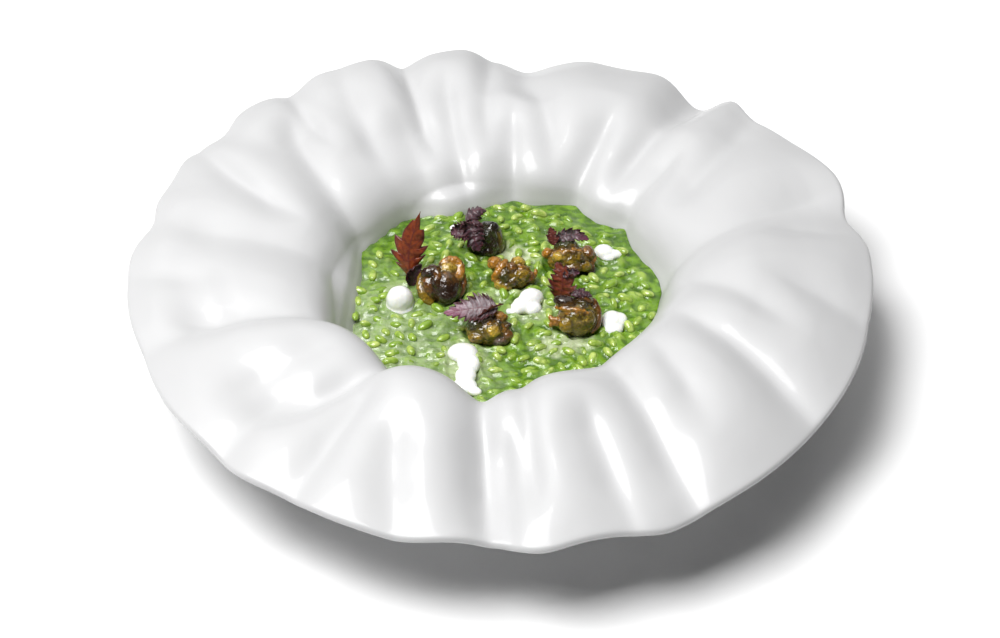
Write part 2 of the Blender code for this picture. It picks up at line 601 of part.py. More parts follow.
def build():
    for thing in list(bpy.data.objects):
        bpy.data.objects.remove(thing, do_unlink=True)
    dish = bpy.data.objects.new("dish", None)
    dish.location = Vector((*WELL_PLACE, 0.0)) * MM
    bpy.context.scene.collection.objects.link(dish)
    materials = {kind: make_material(kind) for kind in COLOURS}
    seats = topping_seats()
    make_plate(materials["porcelain"], dish)
    pieces = [make_risotto(seats, materials["risotto"], dish)]
    for row in SNAILS:
        pieces.append(make_snail(row, seats[row[0]][4], materials["snail"], dish))
    for row in CREAMS:
        pieces.append(make_cream(row, seats[row[0]][4], materials["cream"], dish))
    below = surface_below(pieces)
    for row in LEAVES:
        make_leaf(row, below, materials["leaf"], dish)


build()
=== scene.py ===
import math
import random

import bmesh
import bpy
import numpy as np
from mathutils import Matrix, Vector, noise


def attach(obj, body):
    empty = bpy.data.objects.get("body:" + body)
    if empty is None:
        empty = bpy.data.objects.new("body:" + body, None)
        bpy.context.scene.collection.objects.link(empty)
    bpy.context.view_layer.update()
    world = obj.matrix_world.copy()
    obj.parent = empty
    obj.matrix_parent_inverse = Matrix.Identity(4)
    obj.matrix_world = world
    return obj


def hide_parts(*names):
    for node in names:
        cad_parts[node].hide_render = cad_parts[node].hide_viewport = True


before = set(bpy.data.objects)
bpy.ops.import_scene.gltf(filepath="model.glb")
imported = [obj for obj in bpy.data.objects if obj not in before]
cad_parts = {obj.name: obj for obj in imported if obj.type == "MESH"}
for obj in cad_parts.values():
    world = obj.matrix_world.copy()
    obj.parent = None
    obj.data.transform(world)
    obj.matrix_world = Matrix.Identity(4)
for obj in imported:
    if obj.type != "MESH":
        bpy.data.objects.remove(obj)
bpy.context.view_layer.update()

# everything below is measured in millimetres from the axis of the well
millimetre = 0.001
wellPlace = (1.6, 3.4, 0.0)

print("frame loaded")


def smoothStep(value):
    value = np.clip(value, 0.0, 1.0)
    return value * value * (3.0 - 2.0 * value)


def ramp(value, low, high):
    return smoothStep((value - low) / (high - low))


def toWorld(points):
    return (np.asarray(points, float) + np.array(wellPlace)) * millimetre


def makePiece(name, points, faces, material, nodes):
    mesh = bpy.data.meshes.new(name)
    mesh.from_pydata(toWorld(points).tolist(), [], faces)
    mesh.update()
    mesh.shade_smooth()
    mesh.materials.append(material)
    piece = bpy.data.objects.new(name, mesh)
    bpy.context.scene.collection.objects.link(piece)
    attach(piece, "root")
    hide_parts(*nodes)
    return piece


def paint(piece, name, values):
    layer = piece.data.attributes.new(name, "FLOAT", "POINT")
    layer.data.foreach_set("value", np.asarray(values, np.float32))


def paintColour(piece, name, colours):
    layer = piece.data.attributes.new(name, "FLOAT_COLOR", "POINT")
    layer.data.foreach_set("color", np.insert(np.asarray(colours, np.float32), 3, 1.0, axis=1).ravel())


def ringFaces(first, second, count):
    return [(first + i, first + (i + 1) % count, second + (i + 1) % count, second + i)
            for i in range(count)]


def shellFaces(rows, count):
    # faces over rows of points, with a fan at each end to the two middle points that come last
    faces = []
    for i in range(rows - 1):
        faces += ringFaces((i + 1) * count, i * count, count)
    top, base = rows * count, (rows - 1) * count
    faces += [(top, i, (i + 1) % count) for i in range(count)]
    faces += [(top + 1, base + (i + 1) % count, base + i) for i in range(count)]
    return faces


def catmullRom(rows, at):
    # a smooth curve through rows, read at these places, 0 being the first row
    rows = np.asarray(rows, float)
    padded = np.concatenate([2 * rows[:1] - rows[1:2], rows, 2 * rows[-1:] - rows[-2:-1]])
    at = np.clip(np.asarray(at, float), 0.0, len(rows) - 1.0)
    step = np.minimum(at.astype(int), len(rows) - 2)
    t = (at - step).reshape((-1,) + (1,) * (rows.ndim - 1))
    a, b, c, d = (padded[step + k] for k in range(4))
    return 0.5 * (2 * b + (c - a) * t + (2 * a - 5 * b + 4 * c - d) * t ** 2
                  + (3 * b - a - 3 * c + d) * t ** 3)


def waves(x, y, scale, seed, count=7):
    # soft uneven waves about this many millimetres long, between about -1 and 1
    draw = random.Random(seed)
    total = np.zeros_like(np.asarray(x, float))
    for _ in range(count):
        angle = draw.uniform(0.0, math.tau)
        rate = math.tau / (scale * draw.uniform(0.7, 1.5))
        total += np.sin((x * math.cos(angle) + y * math.sin(angle)) * rate + draw.uniform(0.0, math.tau))
    return total / math.sqrt(count)


def addNode(tree, kind, inputs=None, **settings):
    made = tree.nodes.new(kind)
    for key, value in settings.items():
        setattr(made, key, value)
    for key, value in (inputs or {}).items():
        if isinstance(value, bpy.types.NodeSocket):
            tree.links.new(value, made.inputs[key])
        else:
            made.inputs[key].default_value = value
    return made


def startMaterial(name, values):
    material = bpy.data.materials.new(name)
    material.use_nodes = True
    tree = material.node_tree
    shader = tree.nodes["Principled BSDF"]
    for key, value in values.items():
        shader.inputs[key].default_value = value
    where = addNode(tree, "ShaderNodeTexCoord").outputs["Object"]
    return material, tree, shader, where


def noiseNode(tree, where, perMetre, detail=4.0, rough=0.5, distortion=0.0):
    return addNode(tree, "ShaderNodeTexNoise", {"Vector": where, "Scale": perMetre, "Detail": detail,
                                                "Roughness": rough, "Distortion": distortion}).outputs["Fac"]


def rampNode(tree, value, stops):
    made = addNode(tree, "ShaderNodeValToRGB", {"Fac": value})
    marks = made.color_ramp.elements
    while len(marks) < len(stops):
        marks.new(0.5)
    for mark, (place, colour) in zip(marks, stops):
        mark.position = place
        mark.color = (*colour, 1.0)
    return made.outputs["Color"]


def greyRamp(tree, value, low, high, start=0.0, end=1.0):
    return addNode(tree, "ShaderNodeMapRange", {"Value": value, "From Min": low, "From Max": high,
                                                "To Min": start, "To Max": end}).outputs["Result"]


def mixNode(tree, share, first, second, blend="MIX"):
    made = addNode(tree, "ShaderNodeMix", data_type="RGBA", blend_type=blend)
    for socket, value in ((made.inputs[0], share), (made.inputs[6], first), (made.inputs[7], second)):
        if isinstance(value, bpy.types.NodeSocket):
            tree.links.new(value, socket)
        elif isinstance(value, tuple):
            socket.default_value = (*value, 1.0)
        else:
            socket.default_value = value
    return made.outputs[2]


def timesNode(tree, first, second):
    return addNode(tree, "ShaderNodeMath", {0: first, 1: second}, operation="MULTIPLY").outputs[0]


def bumpNode(tree, height, distance, strength=1.0, after=None):
    inputs = {"Height": height, "Distance": distance, "Strength": strength}
    if after is not None:
        inputs["Normal"] = after
    return addNode(tree, "ShaderNodeBump", inputs).outputs["Normal"]


def attributeNode(tree, name):
    return addNode(tree, "ShaderNodeAttribute", attribute_name=name).outputs["Fac"]


plateLook = {
    "angleSteps": 540,
    "wall": 4.5, "lip": 3.8, "underFold": 0.8,
    "footOuter": 52.0, "footInner": 46.0, "footRecess": 2.5,
    "rimRadius": 155.0, "rimHeight": 39.2, "rimWindow": 9.0,
    "ridgeLift": 3.4, "foldRound": 0.12, "foldFall": 1.25, "foldFade": 26.0, "rimCalm": 0.45,
    "wellWindow": 9.0, "edgePlace": 13.87, "underPlace": 5.0,
    "colour": (0.565, 0.565, 0.568), "roughness": 0.47, "coat": 0.22, "coatRoughness": 0.08,
}
nearProfile = ((0, 8), (30, 8), (48, 8.2), (58, 10.5), (63.5, 16), (66, 24), (67.5, 32), (70, 40),
               (74.5, 47.5), (81, 52.5), (90, 55), (104, 54), (120, 50.5), (138, 45.5), (155, 39))
farProfile = ((0, 8), (30, 8), (48, 8.2), (58, 10.5), (63, 15.5), (65.5, 22), (68.5, 28),
              (73.5, 33), (81, 37.5), (91, 41), (104, 43.5), (118, 44.8), (132, 44.5),
              (144, 42.8), (155, 39.8))
# angle in degrees, radius and height of the rim where it turns in or out
# the rows from 12 to 175 degrees were set by a fitting script, the others by hand
rimLine = ((0, 151, 39), (6, 152, 39), (12, 146, 36.5), (16, 151, 39), (20, 153.5, 41),
           (24, 152, 41), (28, 149.5, 41), (32, 148, 39.5), (36, 148, 38.5), (43, 149.5, 38),
           (46, 150.5, 37.5), (48, 155.5, 39), (51.5, 147, 30.5), (55, 145, 32), (57.5, 147, 35),
           (61, 148, 38), (65, 145.5, 36.5), (70, 145, 35.5), (75, 146.5, 36), (78, 144.5, 34.5),
           (81, 143.5, 33), (83.5, 141.5, 31), (86, 141, 30), (88.5, 143.5, 32.5),
           (91, 146.5, 35), (93.5, 147, 36.5), (96, 150, 39.5), (99, 148, 38), (102, 149, 38),
           (104.5, 148, 36.5), (107.5, 147.5, 34), (109.5, 148, 37), (112, 149.5, 41.5),
           (116, 149.5, 41.5), (120, 151, 42.5), (122.5, 151, 41), (125, 152.5, 40.5),
           (128, 148, 36.5), (131, 150, 40.5), (134, 151.5, 40), (138, 153.5, 39),
           (141.5, 152, 38.5), (145, 147.5, 36.5), (148.5, 153, 38), (152, 156, 38.5),
           (156.5, 152.5, 38.5), (161, 151, 38.5), (165.5, 152, 39), (170, 147.5, 38.5),
           (175, 153, 39), (180, 155, 39), (190, 154, 38.5), (200, 152.5, 39), (212, 154, 39),
           (222, 153, 39.5), (228, 155, 38.5), (237, 153, 40), (244, 154, 39), (256, 154, 38),
           (264, 151.5, 40.5), (269, 151, 40), (274, 156, 36.5), (281, 153, 39),
           (287, 153, 39.5), (292, 157, 37), (298, 155, 38.5), (308, 154, 39), (320, 152, 38.5),
           (334, 151.5, 39), (348, 150.5, 39))
# angle in degrees, and how far the wall of the well stands out or in there
wellLine = ((0, 0), (30, 0), (40, 1.8), (50, 0.5), (57, 0.8), (64, 3.0), (72, 2.0), (84, 0),
            (92, -1.5), (98, -3.0), (108, -5.5), (114, -4.6), (121, -1.0), (128, 3.0),
            (136, 3.2), (144, 1.8), (152, 0), (162, -2.4), (175, -3.8), (186, -3.0),
            (195, -1.5), (206, 0))
# inner radius and its angle, outer radius and its angle, depth, width to either side
folds = ((64, 8, 150, 19, 7.0, 24, 11), (84, 31, 156, 43, 5.5, 15, 11),
         (62, 43, 104, 44, 6.0, 13, 7), (76, 53, 170, 51.5, 7.5, 13, 8),
         (62, 64, 108, 64, 5.5, 13, 7), (82, 76, 124, 84, 5.0, 12, 9),
         (62, 87, 102, 88, 5.5, 12, 7), (112, 86, 170, 86, 3.5, 14, 14),
         (90, 95, 156, 92, 4.5, 10, 7), (62, 105, 128, 102, 6.0, 13, 7),
         (88, 111, 170, 107.5, 5.5, 8, 6), (62, 119, 106, 116, 5.0, 18, 12),
         (88, 127, 156, 119, 4.5, 13, 9), (112, 134, 170, 128.5, 4.0, 8, 6),
         (62, 152, 132, 136, 7.0, 17, 10), (96, 161, 170, 147, 5.5, 13, 7),
         (62, 177, 132, 172, 6.0, 22, 16), (122, 186, 170, 181, 3.5, 12, 11),
         (62, 207, 132, 196, 8.5, 9, 19), (122, 198, 170, 202, 4.0, 11, 13),
         (84, 219, 132, 217, 4.0, 11, 14), (116, 223, 170, 227, 4.5, 8, 15),
         (62, 238, 126, 227, 9.0, 7, 16), (94, 238, 170, 239, 5.5, 8, 15),
         (104, 247, 162, 256, 5.0, 12, 13), (62, 263, 156, 268, 11.0, 9, 12),
         (106, 270, 170, 271, 5.5, 6, 12), (68, 275, 134, 275, 4.5, 6, 9),
         (98, 288, 170, 288, 5.5, 8, 15), (72, 302, 162, 297, 7.5, 9, 15),
         (80, 316, 120, 309, 5.0, 9, 13), (80, 332, 170, 320, 6.5, 9, 14),
         (76, 350, 118, 340, 4.5, 12, 14), (112, 352, 170, 342, 3.0, 13, 13),
         (112, 8, 168, 6, 3.0, 11, 11))
# how finely each stretch of the profile is divided
profileSteps = (2, 3, 6, 8, 10, 10, 10, 10, 10, 9, 9, 9, 9, 9)


def lineRound(table, column, angles, window):
    # one column of a table of angles, smoothed over a window in degrees
    rows = np.array(table + ((360,) + table[0][1:],), float)
    steps = np.arange(0.0, 360.0, 0.5)
    shares = np.hanning(int(window / 0.5) + 2)[1:-1]
    shares /= shares.sum()
    half = len(shares) // 2
    line = np.interp(steps, rows[:, 0], rows[:, column])
    line = np.convolve(np.concatenate([line[-half:], line, line[:half]]), shares, mode="same")[half:-half]
    return np.interp(np.degrees(angles) % 360.0, np.append(steps, 360.0), np.append(line, line[0]))


def foldLift(radius, angles):
    lift = np.zeros_like(radius)
    softness = plateLook["foldRound"]
    for inner, innerAngle, outer, outerAngle, depth, wideUp, wideDown in folds:
        along = np.clip((radius - inner) / (outer - inner), -0.15, 1.15)
        middle = np.radians(innerAngle + (outerAngle - innerAngle) * along)
        turn = (angles - middle + math.pi) % math.tau - math.pi
        across = turn * np.clip(radius, 55.0, 200.0) / np.where(turn > 0.0, wideUp, wideDown)
        shape = np.exp((softness ** 0.5 - np.sqrt(across ** 2 + softness)) * plateLook["foldFall"])
        if inner > 64:
            shape = shape * smoothStep((radius - inner) / plateLook["foldFade"] + 0.5)
        if outer < 160:
            shape = shape * smoothStep((outer - radius) / plateLook["foldFade"] + 0.5)
        lift -= depth * shape
    lift *= 1.0 - plateLook["rimCalm"] * ramp(radius, 128.0, 154.0)
    return (lift + plateLook["ridgeLift"]) * ramp(radius, 60.0, 68.0)


def plateSurface(angles, at, share, drop):
    # radius and height along the profile at these places; drop is the distance below the inside
    nearness = smoothStep(0.5 - 0.5 * np.sin(angles))
    near = catmullRom(nearProfile, at)[:, :, None]
    far = catmullRom(farProfile, at)[:, :, None]
    radius, height = np.moveaxis(near * nearness + far * (1.0 - nearness), 1, 0)
    window = plateLook["rimWindow"]
    well = ramp(radius, 50.0, 60.0) * (1.0 - ramp(radius, 76.0, 104.0))
    radius = radius + lineRound(wellLine, 1, angles, plateLook["wellWindow"]) * well
    wider = lineRound(rimLine, 1, angles, window) - plateLook["rimRadius"]
    radius = radius + wider * ramp(radius, 70.0, 155.0)
    higher = lineRound(rimLine, 2, angles, window) - plateLook["rimHeight"]
    height = height + higher * ramp(radius, 105.0, 155.0)
    slopeR = np.gradient(radius, at, axis=0)
    slopeZ = np.gradient(height, at, axis=0)
    length = np.hypot(slopeR, slopeZ)
    lift = foldLift(radius, angles[None, :]) * share[:, None] - drop[:, None]
    outward = np.stack([slopeR / length, slopeZ / length])
    return radius - lift * outward[1], height + lift * outward[0], outward


def makePlate(material):
    count, edge, foot = plateLook["angleSteps"], plateLook["edgePlace"], plateLook["underPlace"]
    angles = np.arange(count) * math.tau / count
    places = [0.35]
    for i, steps in enumerate(profileSteps):
        places += [i + (k + 1) / steps for k in range(steps)]
    places = np.array([place for place in places if place < edge] + [edge])
    radius, height, outward = plateSurface(angles, places, np.ones(len(places)), np.zeros(len(places)))
    # the lip is a half round at the end of the inside
    half = plateLook["lip"] / 2.0
    t, n = outward[:, -1], np.stack([-outward[1, -1], outward[0, -1]])
    middle = np.stack([radius[-1], height[-1]]) - n * half
    rows = [(radius[i], height[i]) for i in range(len(places))]
    for k in range(1, 10):
        turn = math.pi / 2 - math.pi * k / 10
        rows.append(tuple(middle + half * (math.cos(turn) * t + math.sin(turn) * n)))
    under = np.concatenate([[edge], np.arange(13.7, foot, -0.2), [foot]])[::-1]
    share = np.interp(under, (foot, 11, 12), (plateLook["underFold"], plateLook["underFold"], 1.0))
    drop = np.interp(under, (foot, 12, edge), (plateLook["wall"], plateLook["wall"], plateLook["lip"]))
    underRadius, underHeight, _ = plateSurface(angles, under, share, drop)
    rows += [(underRadius[i], underHeight[i]) for i in range(len(under) - 1, -1, -1)]
    outer, inner, recess = plateLook["footOuter"], plateLook["footInner"], plateLook["footRecess"]
    flat = np.ones(count)
    last = rows[-1]
    for share in (0.25, 0.5, 0.75, 0.92):
        rows.append((last[0] + (outer - last[0]) * share, last[1] + (1.3 - last[1]) * share))
    for r, z in ((outer, 1.1), (outer - 0.35, 0.35), (outer - 1.1, 0.0), (inner + 1.1, 0.0),
                 (inner + 0.35, 0.35), (inner, 1.1), (inner - 1.2, recess - 0.4), (inner - 2.5, recess),
                 (inner - 12.0, recess)):
        rows.append((r * flat, z * flat))
    cos, sin = np.cos(angles), np.sin(angles)
    points = np.concatenate([np.stack([r * cos, r * sin, z], axis=1) for r, z in rows])
    points = np.concatenate([points, [[0, 0, nearProfile[0][1]], [0, 0, recess]]])
    faces = shellFaces(len(rows), count)
    # the wall of the well, read again for the risotto's edge
    wallRows = [i for i, place in enumerate(places) if 2.5 < place < 7.0]
    wall = {"angles": angles, "radius": radius[wallRows], "height": height[wallRows]}
    return makePiece("porcelainPlate", points, faces, material, ["plate"]), wall


def porcelainMaterial():
    look = plateLook
    material, tree, shader, where = startMaterial("glazedPorcelain", {
        "Roughness": look["roughness"], "Coat Weight": look["coat"],
        "Coat Roughness": look["coatRoughness"], "IOR": 1.5})
    cloud = noiseNode(tree, where, 22.0, 3.0)
    colour = rampNode(tree, cloud, ((0.3, tuple(c * 0.985 for c in look["colour"])), (0.7, look["colour"])))
    tree.links.new(colour, shader.inputs["Base Color"])
    flow = noiseNode(tree, where, 34.0, 2.0)
    pits = noiseNode(tree, where, 900.0, 2.0)
    soft = bumpNode(tree, flow, 0.0016, 0.5)
    tree.links.new(bumpNode(tree, pits, 0.00004, 0.5, soft), shader.inputs["Normal"])
    return material


plate, wall = makePlate(porcelainMaterial())
print("plate made")


sauceLook = {
    "edge": 19.3, "crown": 1.4, "radius": 64.0, "climb": 0.35,
    "floor": 8.75, "floorRadius": 50, "wallGap": 0.12, "sideLevels": (17.5, 14.5, 12.0, 10.2),
    "angleSteps": 520, "rows": 150,
    "deep": (0.055, 0.130, 0.005), "bright": (0.165, 0.31, 0.014), "paleSheen": (0.35, 0.43, 0.235),
    "milky": (0.55, 0.60, 0.38), "lime": (0.34, 0.47, 0.075), "shade": (0.040, 0.105, 0.004),
    "roughness": 0.16,
}
# milky patches in the sauce: middle (x, y), half sizes, turn in degrees, strength
milkyPatches = (((5.5, 27.5), (8.5, 9.5), 20, 1), ((25, -25), (13, 8), 12, 0.75),
    ((9, 6), (9, 3.5), 0, 0.45), ((-4.5, 2), (8, 6), 30, 0.35), ((26, 41), (9, 4.5), -15, 0.45),
    ((12, -5), (12, 9.5), 10, 0.45), ((-46, 8), (6, 6), 0, 0.3), ((-16, -38), (12, 18), 11, 0.4))


def sauceHeight(x, y):
    share = np.minimum(np.hypot(x, y) / sauceLook["radius"], 1.0)
    slow = 0.45 * np.sin(0.11 * x + 1.3) * np.cos(0.09 * y + 0.4) + 0.30 * np.sin(0.19 * y - 0.13 * x)
    return sauceLook["edge"] + sauceLook["crown"] * (1.0 - share ** 2) + slow * (1.0 - share ** 4)


def stretched(x, y, middle, half, turn):
    # distance from an ellipse's middle, 1 on its outline
    c, s = math.cos(math.radians(turn)), math.sin(math.radians(turn))
    dx, dy = x - middle[0], y - middle[1]
    return np.hypot((dx * c + dy * s) / half[0], (dy * c - dx * s) / half[1])


def wallRadius(angles, height):
    # radius of the well's wall at these heights
    at = np.interp(np.asarray(angles) % math.tau, np.append(wall["angles"], math.tau),
                   np.arange(len(wall["angles"]) + 1))
    column = np.round(at).astype(int) % len(wall["angles"])
    levels = wall["height"][:, column]
    radii = wall["radius"][:, column]
    height = np.broadcast_to(height, column.shape)
    return np.array([np.interp(height[i], levels[:, i], radii[:, i]) for i in range(len(column))])


# middle (x, y), half sizes and turn in degrees of each topping
snails = {
    "snail_1": ((-7.4, 36), (8.6, 8, 8.5), 15), "snail_2": ((-26.3, 6.2), (10.4, 9.6, 9.2), -20),
    "snail_3": ((3, 13.2), (11, 7.6, 8.2), 8), "snail_4": ((27.2, 22.8), (12, 8.2, 8.4), -4),
    "snail_5": ((29.4, -13.2), (10.4, 9.4, 9.4), -25), "snail_6": ((-6.4, -19.8), (11.4, 8.2, 8), -14),
}
creams = {
    "cream_1": ((-43.4, -0.6), (6.4, 6.3, 7.2), 0), "cream_2": ((9.4, -2), (7.4, 7, 4.8), 35),
    "cream_3": ((44.6, 31.2), (5.9, 4.8, 3.4), -20), "cream_4": ((45.8, -12.4), (5, 6.8, 3.8), 14),
    "cream_5": ((-16.8, -41.2), (7.2, 15.6, 3.9), 10), "cream_6": ((-21, 48.4), (3, 2.8, 1.8), 0),
}

grainLook = {
    "length": 6.7, "width": 3.8, "thick": 3.3, "count": 310, "tries": 20000, "spacing": 3.7,
    "sink": (-0.4, 2.0), "lift": 0.72, "depthShare": 0.82, "sizes": (0.78, 1.14),
    "seed": 21, "field": 64.0, "middleReach": 62.3, "endReach": 62.8, "around": 12, "along": 12,
    "light": (0.56, 0.65, 0.19), "middle": (0.42, 0.54, 0.10), "dark": (0.26, 0.41, 0.04),
    "wet": (0.135, 0.255, 0.014),
}


def scatterGrains():
    # places, turns, tilts, sizes and depths, evenly spread; fewer in the smooth sauce at the left
    draw, field = random.Random(grainLook["seed"]), grainLook["field"]
    found, taken = [], []
    for _ in range(grainLook["tries"]):
        x, y = draw.uniform(-field, field), draw.uniform(-field, field)
        turn, keep = draw.uniform(0.0, math.pi), draw.random()
        size, tilt = draw.uniform(*grainLook["sizes"]), draw.gauss(0.0, 11.0)
        depth, bend = draw.uniform(*grainLook["sink"]), draw.uniform(-1.0, 1.0)
        if math.hypot(x, y) > grainLook["middleReach"]:
            continue
        calm = math.exp(-float(stretched(x, y, (-33.0, -16.0), (26.0, 24.0), 20)) ** 2)
        calm = max(calm, 0.8 * math.exp(-float(stretched(x, y, (4.0, 27.0), (9.0, 8.0), 0)) ** 2))
        if keep < 0.72 * calm:
            continue
        reach = 0.30 * grainLook["length"] * size
        line = [(x + k * reach * math.cos(turn), y + k * reach * math.sin(turn)) for k in (-1, 0, 1)]
        if any(math.hypot(*point) > grainLook["endReach"] for point in line):
            continue
        if any(float(stretched(px, py, *thing)) < 0.94
               for px, py in line for thing in (*snails.values(), *creams.values())):
            continue
        # they crowd in some places and leave smooth sauce in others
        crowd = noise.noise(Vector((x * 0.075, y * 0.075, 4.0)))
        room = grainLook["spacing"] * (0.98 - 0.45 * min(max(crowd, -0.6), 0.45)) * size ** 0.5
        if any(math.dist(point, other) < room for point in line for other in taken):
            continue
        taken += line
        found.append((x, y, turn, tilt, size, depth + 0.45 * calm, bend, draw.random()))
        if len(found) == grainLook["count"]:
            break
    return found


grains = scatterGrains()


def grainSwell(x, y):
    # the sauce climbs a little over and around each grain
    swell = np.zeros_like(x)
    for gx, gy, turn, _, size, depth, _, _ in grains:
        near = (np.abs(x - gx) < 7.0) & (np.abs(y - gy) < 7.0)
        away = stretched(x[near], y[near], (gx, gy), (3.5 * size, 2.3 * size), math.degrees(turn))
        bump = np.exp(-(away ** 2.8) * 1.1) * (1.45 - 0.34 * max(depth, 0.0)) * size
        swell[near] = np.maximum(swell[near], bump)
    return swell


def sauceRelief(x, y):
    # grains under the sauce lift it, and it settles between them
    return (grainSwell(x, y) * 0.95 + 0.36 * waves(x, y, 9.0, 5) + 0.24 * waves(x, y, 4.2, 6, 9)
            + 0.07 * waves(x, y, 2.0, 8, 9) + seatDip(x, y))


def seatDip(x, y):
    # the toppings lie a little sunk, with the sauce rising at their foot
    dip = np.zeros_like(x)
    for thing in (*snails.values(), *creams.values()):
        away = stretched(x, y, *thing)
        dip += 0.55 * np.exp(-((away - 1.03) / 0.13) ** 2) - 1.1 * smoothStep((0.98 - away) / 0.25)
    return dip


def makeSauce(material):
    count, rows = sauceLook["angleSteps"], sauceLook["rows"]
    angles = np.arange(count) * math.tau / count
    x, y = np.cos(angles) * 60, np.sin(angles) * 60
    edgeHeight = sauceLook["edge"] + 0.55 * waves(x, y, 17.0, 3) + 0.35 * waves(x, y, 7.0, 4)
    edgeRadius = wallRadius(angles, edgeHeight)
    share = np.linspace(0.0, 1.0, rows + 1)[1:] ** 0.82
    radius = share[:, None] * edgeRadius[None, :]
    x, y = radius * np.cos(angles), radius * np.sin(angles)
    inner = 1.0 - ramp(share, 0.93, 1.0)[:, None]
    rise = (edgeHeight - sauceLook["edge"])[None, :]
    height = sauceHeight(x, y) + rise * ramp(share, 0.8, 1.0)[:, None]
    height += inner * sauceRelief(x, y)
    # the sauce climbs the wall by a hair, and bulges where grains press against it
    height += sauceLook["climb"] * ramp(share, 0.985, 1.0)[:, None]
    points = [np.stack([x[i], y[i], height[i]], axis=1) for i in range(rows)]
    # the sides follow the well down to its floor
    sides = [(wallRadius(angles, level) - sauceLook["wallGap"], level) for level in sauceLook["sideLevels"]]
    for side, level in sides + [(sauceLook["floorRadius"], sauceLook["floor"])]:
        points.append(np.stack([side * np.cos(angles), side * np.sin(angles), np.full(count, level)], axis=1))
    faces = shellFaces(len(points), count)
    points = np.concatenate(points + [[[0, 0, float(height[0].mean())], [0, 0, sauceLook["floor"]]]])
    piece = makePiece("riceSauce", points, faces, material, ["risotto"])
    px, py = points[:, 0], points[:, 1]
    milky = np.zeros(len(points))
    for middle, half, turn, strength in milkyPatches:
        away = stretched(px, py, middle, half, turn) + 0.16 * waves(px, py, 5.0, 11)
        milky = np.maximum(milky, strength * smoothStep((1.25 - away) / 0.75))
    paint(piece, "milky", milky)
    # a thin film over a grain lets its lime colour through
    paint(piece, "film", grainSwell(px, py))
    # painted shade: the sauce turns darker green in the hollows between grains and in the troughs of its
    # waves
    paint(piece, "hollowShade", smoothStep((0.25 - 0.8 * waves(px, py, 4.2, 6, 9) - grainSwell(px, py)) / 0.8))
    # paler at the left and at the front left, partly a milkier sauce and partly a painted sheen; deeper green
    # at the right
    paleSheen = smoothStep((12.0 - px) / 70.0) * smoothStep((38.0 - py) / 60.0)
    paint(piece, "paleSheen", np.clip(paleSheen + 0.12 * waves(px, py, 14.0, 12), 0.0, 1.0))
    return piece


def sauceMaterial():
    look = sauceLook
    material, tree, shader, where = startMaterial("herbSauce", {
        "Roughness": look["roughness"], "Subsurface Weight": 0.16, "Subsurface Radius": (0.6, 1.0, 0.2),
        "Subsurface Scale": 0.0016, "Coat Weight": 0.45, "Coat Roughness": 0.03, "IOR": 1.36})
    blotch = noiseNode(tree, where, 150.0, 5.0, 0.6)
    base = rampNode(tree, blotch, ((0.34, look["deep"]), (0.62, look["bright"])))
    film = greyRamp(tree, attributeNode(tree, "film"), 0.35, 1.1, 0.0, 0.85)
    base = mixNode(tree, film, base, look["lime"])
    # painted shade, darker green in the sauce's hollows
    hollowShade = greyRamp(tree, attributeNode(tree, "hollowShade"), 0.2, 1.0, 0.0, 0.75)
    base = mixNode(tree, hollowShade, base, look["shade"])
    fleck = noiseNode(tree, where, 900.0, 3.0, 0.6)
    base = mixNode(tree, greyRamp(tree, fleck, 0.60, 0.72, 0.0, 0.35), base, (0.045, 0.14, 0.010))
    streak = noiseNode(tree, where, 330.0, 4.0, 0.6, 0.8)
    # painted sheen: part of the pale colour at the left stands in for the lamp's reflection
    paleSheenShare = timesNode(tree, attributeNode(tree, "paleSheen"), greyRamp(tree, streak, 0.35, 0.62, 0.35, 1.0))
    colour = mixNode(tree, paleSheenShare, base, look["paleSheen"])
    milkyShare = timesNode(tree, attributeNode(tree, "milky"), greyRamp(tree, streak, 0.30, 0.60, 0.55, 1.0))
    colour = mixNode(tree, milkyShare, colour, look["milky"])
    tree.links.new(colour, shader.inputs["Base Color"])
    fine = noiseNode(tree, where, 620.0, 4.0, 0.55)
    finer = noiseNode(tree, where, 1900.0, 3.0, 0.5)
    ripple = bumpNode(tree, fine, 0.0006, 0.55)
    tree.links.new(bumpNode(tree, finer, 0.00012, 0.5, ripple), shader.inputs["Normal"])
    return material


sauce = makeSauce(sauceMaterial())
print("sauce made")


